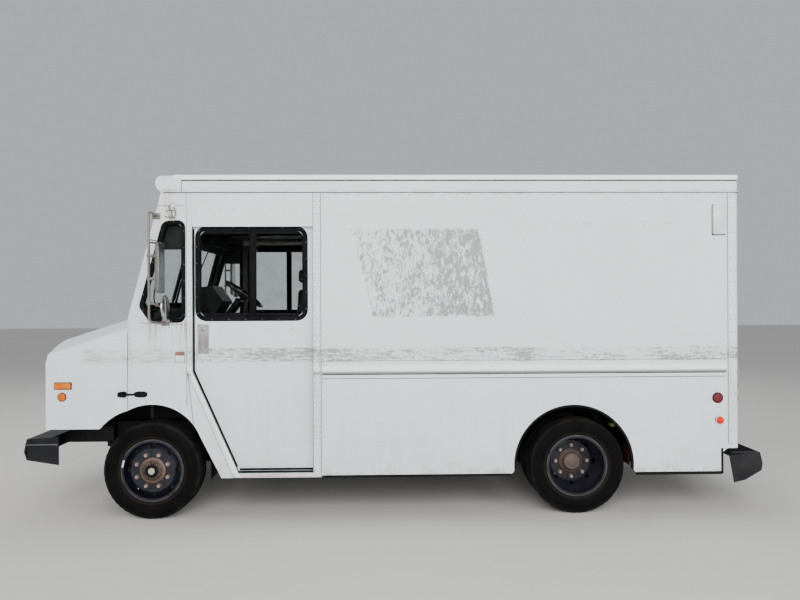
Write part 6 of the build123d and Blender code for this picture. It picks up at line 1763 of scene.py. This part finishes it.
class VAN_OT_mirrors(bpy.types.Operator):
    """Build the side mirrors: looped tube arms, a tall flat head and a round convex head"""
    bl_idname = "stepvan.mirrors"
    bl_label = "Mirrors"

    def execute(self, context):
        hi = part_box("side_mirrors")[1]
        arm_y = hi[1] - 0.085
        shape = Shape("mirror_arms_and_heads")
        x = FRONT_X - 0.050
        face = SIDE_Y
        path = [(x - 0.008, face, 2.520), (x - 0.005, face + 0.07, 2.535),
                (x - 0.002, arm_y - 0.035, 2.536), (x, arm_y - 0.008, 2.528),
                (x, arm_y, 2.500), (x, arm_y, 2.10), (x, arm_y, 1.700), (x - 0.004, arm_y - 0.004,
                                                                         1.664), (x - 0.016, arm_y - 0.030,
                                                                                  1.646),
                (x - 0.050, face + 0.07, 1.640), (x - 0.082, face, 1.640)]
        shape.tube(path, 0.0105, "arm_steel", sides=12)
        for px, pz in ((x - 0.008, 2.520), (x - 0.082, 1.640)):
            shape.box((px - 0.034, face - 0.001, pz - 0.026), (px + 0.034, face + 0.007, pz + 0.026),
                      "arm_steel", 0.003)
            for dx in (-0.022, 0.022):
                shape.turned([(face + 0.006, 0.007), (face + 0.011, 0.0065), (face + 0.012, 0.0004)],
                             (px + dx, 0, pz), "nut_rust", steps=6)
        brace = [(x - 0.045, face, 2.300), (x - 0.030, face + 0.08, 2.292), (x - 0.004, arm_y - 0.012, 2.290)]
        shape.tube(brace, 0.0075, "arm_steel", sides=10)
        self.flat_head(shape, x, arm_y)
        self.round_head(shape, x, arm_y)
        piece = shape.finish("van", "mirror_steel", mirror=True)
        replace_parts(piece, "side_mirrors")
        return {"FINISHED"}

    def flat_head(self, shape, x, y):
        """Tall rectangular head that looks back, with its clamps."""
        z0, z1 = 1.883, 2.286
        outline = rounded(rectangle(y - 0.085, z0, y + 0.085, z1), 0.030, 5)
        back = [(0.0, 0.0), (0.0, 0.012), (-0.010, 0.024), (-0.030, 0.030)]
        centre = (y, (z0 + z1) / 2)
        place = front_place(x - 0.100)
        count = len(outline)
        points = []
        for inset, lift in back:
            for u, v in outline:
                reach = math.hypot(u - centre[0], v - centre[1])
                scale = (reach + inset) / reach
                points.append(place(centre[0] + (u - centre[0]) * scale,
                                    centre[1] + (v - centre[1]) * scale, lift))
        faces = [list(range((len(back) - 1) * count, len(back) * count)), list(range(count))]
        for r in range(len(back) - 1):
            for i in range(count):
                j = (i + 1) % count
                faces.append([r * count + i, r * count + j, (r + 1) * count + j, (r + 1) * count + i])
        shape.add(points, faces, "mirror_back")
        shape.plate(rounded(rectangle(y - 0.077, z0 + 0.008, y + 0.077, z1 - 0.008), 0.026, 5),
                    rear_place(x - 0.0995), 0.0016, "mirror_face",
                    0.0004)
        for z in (z0 + 0.115, z1 - 0.105):
            shape.box((x - 0.078, y - 0.014, z - 0.012), (x + 0.014, y + 0.014, z + 0.012), "arm_steel",
                      0.004)
            shape.tube([(x - 0.04, y - 0.02, z), (x - 0.04, y + 0.024, z)], 0.0045, "nut_rust", sides=6)
        shape.tube([(x - 0.072, y, z1 - 0.02), (x - 0.058, y, z1 + 0.016), (x - 0.012, y, z1 + 0.026)],
                   0.006, "arm_steel", sides=8)

    def round_head(self, shape, x, y):
        """Round convex head below the flat one, on its own clamp."""
        centre = (x - 0.132, y, 1.766)
        profile = [(-0.016, 0.0004), (-0.015, 0.050), (-0.010, 0.082), (-0.002, 0.098), (0.006, 0.100),
                   (0.010, 0.096), (0.020, 0.070),
                   (0.027, 0.030), (0.028, 0.0004)]
        shape.turned(profile[:5], centre, "mirror_face", axis="X", steps=40)
        shape.turned(profile[3:], centre, "mirror_bowl", axis="X", steps=40)
        shape.tube([(x - 0.106, y, 1.766), (x - 0.060, y, 1.790), (x, y, 1.800)], 0.007, "arm_steel", sides=8)
        shape.box((x - 0.016, y - 0.016, 1.784), (x + 0.016, y + 0.016, 1.816), "arm_steel", 0.004)
        shape.box((x - 0.080, y - 0.014, 1.774), (x - 0.052, y + 0.014, 1.804), "nut_rust", 0.005)


class VAN_OT_rear_fittings(bpy.types.Operator):
    """Add rear door latches, lamp bezels, a blank plate and bumper treads"""
    bl_idname = "stepvan.rear_fittings"
    bl_label = "Rear fittings"

    def execute(self, context):
        for word, side in (("left", 1), ("right", -1)):
            shape = Shape(f"rear_door_hardware_{word}")
            x = REAR_X
            y = side * 0.075
            ys = sorted((y - 0.024, y + 0.024))
            if side > 0:
                shape.box((x - 0.012, ys[0], 1.20), (x + 0.001, ys[1], 1.46), "latch_metal", 0.005)
                shape.tube([(x - 0.012, y, 1.43), (x - 0.040, y, 1.40), (x - 0.040, y, 1.27),
                            (x - 0.012, y, 1.24)], 0.009, "steel", sides=10)
            shape.tube([(x - 0.012, side * 0.028, 0.83), (x - 0.012, side * 0.028, 2.46)], 0.008, "steel",
                       sides=10)
            for z in (0.90, 1.15, 1.50, 1.90, 2.38):
                shape.box((x - 0.020, side * 0.028 - 0.016, z - 0.014),
                          (x + 0.001, side * 0.028 + 0.016, z + 0.014), "latch_metal", 0.003)
            ys = sorted((side * 0.10, side * 0.98))
            for z in (1.10, 1.62, 2.34):
                shape.box((x - 0.0035, ys[0], z - 0.004), (x + 0.001, ys[1], z + 0.004), "trim_paint", 0.0015)
            shape.finish(f"rear_door_{word}", "mirror_steel")
        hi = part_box("tail_lamps")[1]
        lamps = Shape("tail_lamp_bodies")
        shape = Shape("rear_lamp_rims")
        lamp_y = hi[1] - 0.040
        for z in (0.983, 1.090, 1.197):
            rim = [(REAR_X + 0.001, 0.0385), (REAR_X + 0.001, 0.047), (REAR_X - 0.002, 0.046),
                   (REAR_X - 0.003, 0.041)]
            shape.turned(rim, (0, lamp_y, z), "trim_paint", axis="X", steps=36, closed=True)
            lens = [(REAR_X + 0.002, 0.040), (REAR_X - 0.0015, 0.0385), (REAR_X - 0.0030, 0.028),
                    (REAR_X - 0.0035, 0.0004)]
            lamps.turned(lens, (0, lamp_y, z), "red_lens", axis="X", steps=36)
        for y in (0.0, 0.16, 0.95):
            shape.box((REAR_X - 0.020, y - 0.040, 2.620), (REAR_X + 0.001, y + 0.040, 2.655), "red_lens",
                      0.010, 3)
        shape.finish("van", "lamp_red", mirror=True)
        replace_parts(lamps.finish("van", "lamp_red", mirror=True), "tail_lamps")
        plate = Shape("blank_rear_plate")
        plate.plate(rounded(rectangle(-0.155, 0.690, 0.155, 0.785), 0.012, 3), rear_place(REAR_X), 0.004,
                    "plate_pale")
        plate.finish("van", "body_paint")
        self.treads()
        return {"FINISHED"}

    def treads(self):
        """Rubber treads on the rear step, and painted highlight strips along the front bumper's crease."""
        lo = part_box("rear_bumper")[0]
        shape = Shape("rear_step_tread")
        top = 0.498
        for i in range(9):
            x = lo[0] + 0.040 + i * 0.026
            shape.box((x, -1.02, top - 0.001), (x + 0.012, 1.02, top + 0.005), "rubber", 0.002, 1)
        shape.finish("van", "bumper_paint")
        crease = Shape("bumper_creases")
        f_lo, f_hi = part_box("front_bumper")
        for side in (1, -1):
            ys = sorted((side * (f_hi[1] - 0.002), side * (f_hi[1] + 0.005)))
            crease.box((f_lo[0] + 0.004, ys[0], 0.622), (f_hi[0] - 0.022, ys[1], 0.632), "bumper_crease_highlight", 0.003)
        crease.box((f_hi[0] - 0.014, -f_hi[1], 0.622), (f_hi[0] - 0.004, f_hi[1], 0.632), "bumper_crease_highlight",
                   0.003)
        crease.finish("van", "bumper_paint")


class VAN_OT_cab_interior(bpy.types.Operator):
    """Fit the cab: visors, instruments, pedals, shifter, door tracks and roof bows"""
    bl_idname = "stepvan.cab_interior"
    bl_label = "Cab interior"

    def execute(self, context):
        self.tracks()
        self.driver_fittings()
        self.cargo_ribs()
        return {"FINISHED"}

    def tracks(self):
        """Hanging rails above the doors with rollers, headliner and roof bows."""
        shape = Shape("door_tracks_and_headliner")
        z = high("left_door")[2]
        y = 1.070
        for side in (1, -1):
            ys = sorted((side * (y - 0.020), side * (y - 0.004)))
            shape.box((-0.15, ys[0], z + 0.010), (DOOR_FRONT_X + 0.03, ys[1], z + 0.065), "steel", 0.003)
            ys = sorted((side * 0.60, side * (INNER_Y - 0.004)))
            shape.box((bulk_x() + 0.002, ys[0], 2.520), (1.80, ys[1], 2.540), "lining", 0.004)
        shape.box((bulk_x() + 0.002, -0.60, 2.600), (1.80, 0.60, 2.620), "lining", 0.004)
        for i in range(4):
            x = 0.75 + i * 0.34
            shape.box((x - 0.02, -INNER_Y + 0.002, 2.62), (x + 0.02, INNER_Y - 0.002, 2.66), "lining", 0.004)
        shape.finish("van", "inner_lining")
        for word, side in (("left", 1), ("right", -1)):
            roller = Shape(f"door_hangers_{word}")
            for x in (DOOR_REAR_X + 0.10, DOOR_FRONT_X - 0.10):
                ys = sorted((side * (DOOR_IN_Y + 0.001), side * (DOOR_IN_Y - 0.004)))
                roller.box((x - 0.03, ys[0], z - 0.06), (x + 0.03, ys[1], z + 0.070), "steel", 0.002)
                centre = (x, side * (DOOR_IN_Y - 0.010), z + 0.050)
                roller.turned([(-side * 0.007, 0.018), (0.0, 0.020), (side * 0.007, 0.018)], centre,
                              "rubber", steps=20)
            roller.finish(f"sliding_door_{word}", "mirror_steel")

    def driver_fittings(self):
        """Instrument face, visors, pedals, shifter, mirror and heater."""
        lo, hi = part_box("dashboard")
        shape = Shape("driver_fittings")
        seat_y = (low("seat_cushion")[1] + high("seat_cushion")[1]) / 2
        for dy in (-0.16, 0.06, 0.15):
            centre = (lo[0] + 0.062, seat_y + dy + 0.05, 1.895)
            shape.turned([(0.0, 0.040), (-0.012, 0.042), (-0.014, 0.036), (-0.006, 0.034),
                          (-0.005, 0.0004)], centre, "steel", axis="X", steps=24)
        for i in range(6):
            shape.box((hi[0] - 0.46, 0.10 + i * 0.11, 1.610), (hi[0] - 0.440, 0.15 + i * 0.11, 1.640),
                      "rubber", 0.004)
        for side in (1, -1):
            top = shield_place(-0.075)(side * 0.58, 2.545, 0.0)
            low_edge = shield_place(-0.16)(side * 0.58, 2.40, 0.0)
            for p in (top, low_edge):
                shape.tube([p - Vector((0, 0.36, 0)), p + Vector((0, 0.36, 0))], 0.012, "lining", sides=8)
            points = [top - Vector((0.004, 0.36, 0)), top + Vector((-0.004, 0.36, 0)),
                      low_edge + Vector((-0.004, 0.36, 0)),
                      low_edge - Vector((0.004, 0.36, 0)), top - Vector((-0.004, 0.36,
                                                                         0)), top + Vector((0.004, 0.36, 0)),
                      low_edge + Vector((0.004, 0.36, 0)), low_edge - Vector((-0.004, 0.36, 0))]
            shape.add(points,
                      [(0, 1, 2, 3), (4, 5, 6, 7), (0, 1, 5, 4), (1, 2, 6, 5), (2, 3, 7, 6),
                       (3, 0, 4, 7)], "lining")
        band = rectangle(-INNER_Y + 0.06, 2.335, INNER_Y - 0.06, 2.520)
        shape.plate(band, shield_place(-0.085), 0.010, "dash")
        for dy, tall in ((-0.14, 0.10), (-0.02, 0.08), (0.12, 0.12)):
            foot = (2.10, seat_y + dy, 0.98)
            shape.box((foot[0] - 0.015, foot[1] - 0.035, foot[2]),
                      (foot[0], foot[1] + 0.035, foot[2] + tall), "rubber", 0.005)
            shape.tube([(foot[0], foot[1], foot[2] + tall / 2), (2.15, foot[1], 1.20),
                        (2.19, foot[1], 1.42)], 0.008, "steel", sides=8)
        shape.tube([(1.80, -0.20, 1.10), (1.76, -0.22, 1.32), (1.68, -0.24, 1.52)], 0.010, "steel", sides=10)
        shape.turned([(-0.030, 0.0004), (-0.026, 0.018), (0.0, 0.028), (0.024, 0.018), (0.030, 0.0004)],
                     (1.68, -0.24, 1.545), "rubber", axis="Z",
                     steps=20)
        shape.box((1.86, -0.12, 2.42), (1.872, 0.12, 2.48), "rubber", 0.005)
        shape.finish("van", "dash_plastic")

    def cargo_ribs(self):
        """Hat-section posts, slats and shelves along the inner cargo walls."""
        shape = Shape("cargo_ribs")
        x = -2.60
        while x < -0.25:
            shape.box((x - 0.020, INNER_Y - 0.028, 0.97), (x + 0.020, INNER_Y + 0.0005, 2.70), "alloy",
                      0.003, 1)
            x += 0.60
        for z in (1.30, 1.75, 2.20):
            shape.box((-2.66, INNER_Y - 0.036, z - 0.045), (-0.22, INNER_Y - 0.026, z + 0.045),
                      "liner_wood", 0.002, 1)
        shape.finish("van", "floor_alloy", mirror=True)
        bows = Shape("cargo_roof_bows")
        for i in range(6):
            bow_x = -2.55 + i * 0.58
            path = [(bow_x, y, 2.806 + 0.034 * (1 - (y / 1.17) ** 2)) for y in (-1.10, -0.8, -0.4, 0.0, 0.4,
                                                                                0.8, 1.10)]
            bows.tube(path, 0.014, "alloy", sides=8)
        bows.finish("van", "floor_alloy")


class VAN_OT_seat(bpy.types.Operator):
    """Puff the seat's cushion and back, with welts and sewn channels"""
    bl_idname = "stepvan.seat"
    bl_label = "Seat"

    def execute(self, context):
        for node, flat_axis, fill in (("seat_cushion", 2, 0.75), ("seat_back", 0, 0.65)):
            piece = self.pad(node, flat_axis)
            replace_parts(piece, node)
        self.headrest()
        return {"FINISHED"}

    def pad(self, node, flat_axis):
        """A crowned pad inside the frame node's own form, swollen by cloth pressure."""
        source = nodes[node].data
        work = bmesh.new()
        work.from_mesh(source)
        bmesh.ops.remove_doubles(work, verts=work.verts, dist=0.0004)
        centre = sum((v.co for v in work.verts), Vector()) / len(work.verts)
        for v in work.verts:
            v.co = centre + (v.co - centre) * 0.955
        data = bpy.data.meshes.new(node + "_pad")
        work.to_mesh(data)
        work.free()
        piece = bpy.data.objects.new(node + "_pad", data)
        bpy.context.scene.collection.objects.link(piece)
        remesh = piece.modifiers.new("remesh", "REMESH")
        remesh.mode = "VOXEL"
        remesh.voxel_size = 0.009
        self.apply(piece)
        rest = [v.co.copy() for v in piece.data.vertices]
        cloth = piece.modifiers.new("cloth", "CLOTH")
        cloth.settings.use_pressure = True
        cloth.settings.uniform_pressure_force = 4.0
        cloth.settings.effector_weights.gravity = 0.0
        scene = bpy.context.scene
        for number in range(1, 21):
            scene.frame_set(number)
        self.apply(piece)
        scene.frame_set(1)
        lo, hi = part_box(node)
        cap = 0.012
        mesh = piece.data
        for index, v in enumerate(mesh.vertices):
            move = v.co - rest[index]
            if move.length > cap:
                v.co = rest[index] + move.normalized() * cap
            across = v.co[1]
            channel = math.cos((across - centre[1]) / 0.080 * 2 * math.pi)
            top_side = v.co[2] > hi[2] - 0.040 if flat_axis == 2 else v.co[0] > centre[0] + 0.015
            if top_side and abs(across - centre[1]) < 0.19:
                v.co[flat_axis] -= 0.006 * max(0.0, channel) ** 6
            for k in range(3):
                v.co[k] = min(max(v.co[k], lo[k] + 0.001), hi[k] + 0.006)
        smooth = bmesh.new()
        smooth.from_mesh(mesh)
        bmesh.ops.smooth_vert(smooth, verts=smooth.verts, factor=0.5, use_axis_x=True, use_axis_y=True,
                              use_axis_z=True)
        bmesh.ops.recalc_face_normals(smooth, faces=smooth.faces)
        smooth.to_mesh(mesh)
        smooth.free()
        for face in mesh.polygons:
            face.use_smooth = True
        mesh.materials.clear()
        mesh.materials.append(materials["seat_vinyl"])
        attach(piece, "van")
        return piece

    def apply(self, piece):
        """Keep the evaluated mesh and drop the modifiers."""
        graph = bpy.context.evaluated_depsgraph_get()
        mesh = bpy.data.meshes.new_from_object(piece.evaluated_get(graph))
        piece.modifiers.clear()
        piece.data = mesh

    def headrest(self):
        """Two posts and a small rounded block on top of the back."""
        lo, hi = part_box("seat_back")
        shape = Shape("seat_headrest")
        y = (lo[1] + hi[1]) / 2
        x = lo[0] + 0.050
        for dy in (-0.05, 0.05):
            shape.tube([(x, y + dy, hi[2] - 0.02), (x, y + dy, hi[2] + 0.09)], 0.006, "steel", sides=8)
        shape.box((x - 0.040, y - 0.13, hi[2] + 0.050), (x + 0.045, y + 0.13, hi[2] + 0.190), "seat_vinyl",
                  0.035, 5)
        shape.finish("van", "seat_vinyl")


class VAN_OT_underside(bpy.types.Operator):
    """Add mud flaps, arch liners, steps and small chassis parts"""
    bl_idname = "stepvan.underside"
    bl_label = "Underside"

    def execute(self, context):
        shape = Shape("mud_flaps")
        for side in (1, -1):
            ys = sorted((side * 0.62, side * 1.10))
            shape.box((REAR_AXLE_X - 0.452, ys[0], 0.405), (REAR_AXLE_X - 0.444, ys[1], 0.700), "flap_red",
                      0.003)
            ys = sorted((side * 0.98, side * 1.06))
            shape.box((REAR_AXLE_X - 0.340, ys[0], 0.728), (REAR_AXLE_X - 0.300, ys[1], 0.756), "tag_green",
                      0.004)
            ys = sorted((side * 0.70, side * 1.12))
            shape.box((FRONT_X - 0.492, ys[0], 0.33), (FRONT_X - 0.484, ys[1], 0.72), "rubber", 0.003)
        shape.finish("van", "dash_plastic")
        liner = Shape("wheelhouse_liners")
        count = 24
        points = []
        for k in range(count + 1):
            turn = math.pi * k / count
            for reach, y in ((0.0, 0.615), (0.0, INNER_Y - 0.002), (0.004, INNER_Y - 0.002), (0.004, 0.615)):
                arm = (ARCH_R - 0.005) * 1.02 + reach
                points.append((ARCH_X + arm * math.cos(turn), y, ARCH_Z + arm * math.sin(turn)))
        faces = [[4 * k + i, 4 * k + (i + 1) % 4, 4 * k + 4 + (i + 1) % 4, 4 * k + 4 + i]
                 for k in range(count) for i in range(4)]
        faces += [[3, 2, 1, 0], [4 * count, 4 * count + 1, 4 * count + 2, 4 * count + 3]]
        liner.add(points, faces, "arch_liner")
        liner.finish("van", "chassis_black", mirror=True)
        step = Shape("step_treads")
        for i in range(9):
            x = DOOR_REAR_X + 0.05 + i * 0.065
            step.box((x, 0.72, 0.3845), (x + 0.030, 1.060, 0.3885), "rubber", 0.0015, 1)
        step.finish("van", "floor_alloy", mirror=True)
        return {"FINISHED"}


def bulk_x():
    """Front face of the bulkhead."""
    return high("bulkhead")[0]


OPERATORS = (VAN_OT_finishes, VAN_OT_stage, VAN_OT_tyres, VAN_OT_wheel_details, VAN_OT_gaskets, VAN_OT_rivets,
             VAN_OT_body_trim, VAN_OT_hood_fittings, VAN_OT_mirrors, VAN_OT_rear_fittings, VAN_OT_cab_interior,
             VAN_OT_seat, VAN_OT_underside)


class VAN_PT_panel(bpy.types.Panel):
    """Sizes, colours and building steps of the step van"""
    bl_label = "Step Van"
    bl_idname = "VAN_PT_panel"
    bl_space_type = "VIEW_3D"
    bl_region_type = "UI"
    bl_category = "Step Van"

    def draw(self, context):
        column = self.layout.column()
        for group in (context.scene.step_van_finish, context.scene.step_van_trim):
            for key in group.__annotations__:
                column.prop(group, key)
        for operator in OPERATORS:
            column.operator(operator.bl_idname)


CLASSES = (StepVanFinish, StepVanTrim, *OPERATORS, VAN_PT_panel)


def register():
    """Register every class and its settings."""
    for item in CLASSES:
        bpy.utils.register_class(item)
    bpy.types.Scene.step_van_finish = bpy.props.PointerProperty(type=StepVanFinish)
    bpy.types.Scene.step_van_trim = bpy.props.PointerProperty(type=StepVanTrim)


def unregister():
    """Take every class away again."""
    del bpy.types.Scene.step_van_trim
    del bpy.types.Scene.step_van_finish
    for item in reversed(CLASSES):
        bpy.utils.unregister_class(item)


def main():
    """Register the add-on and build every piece."""
    register()
    for operator in OPERATORS:
        family, name = operator.bl_idname.split(".")
        getattr(getattr(bpy.ops, family), name)()


if __name__ == "__main__":
    main()
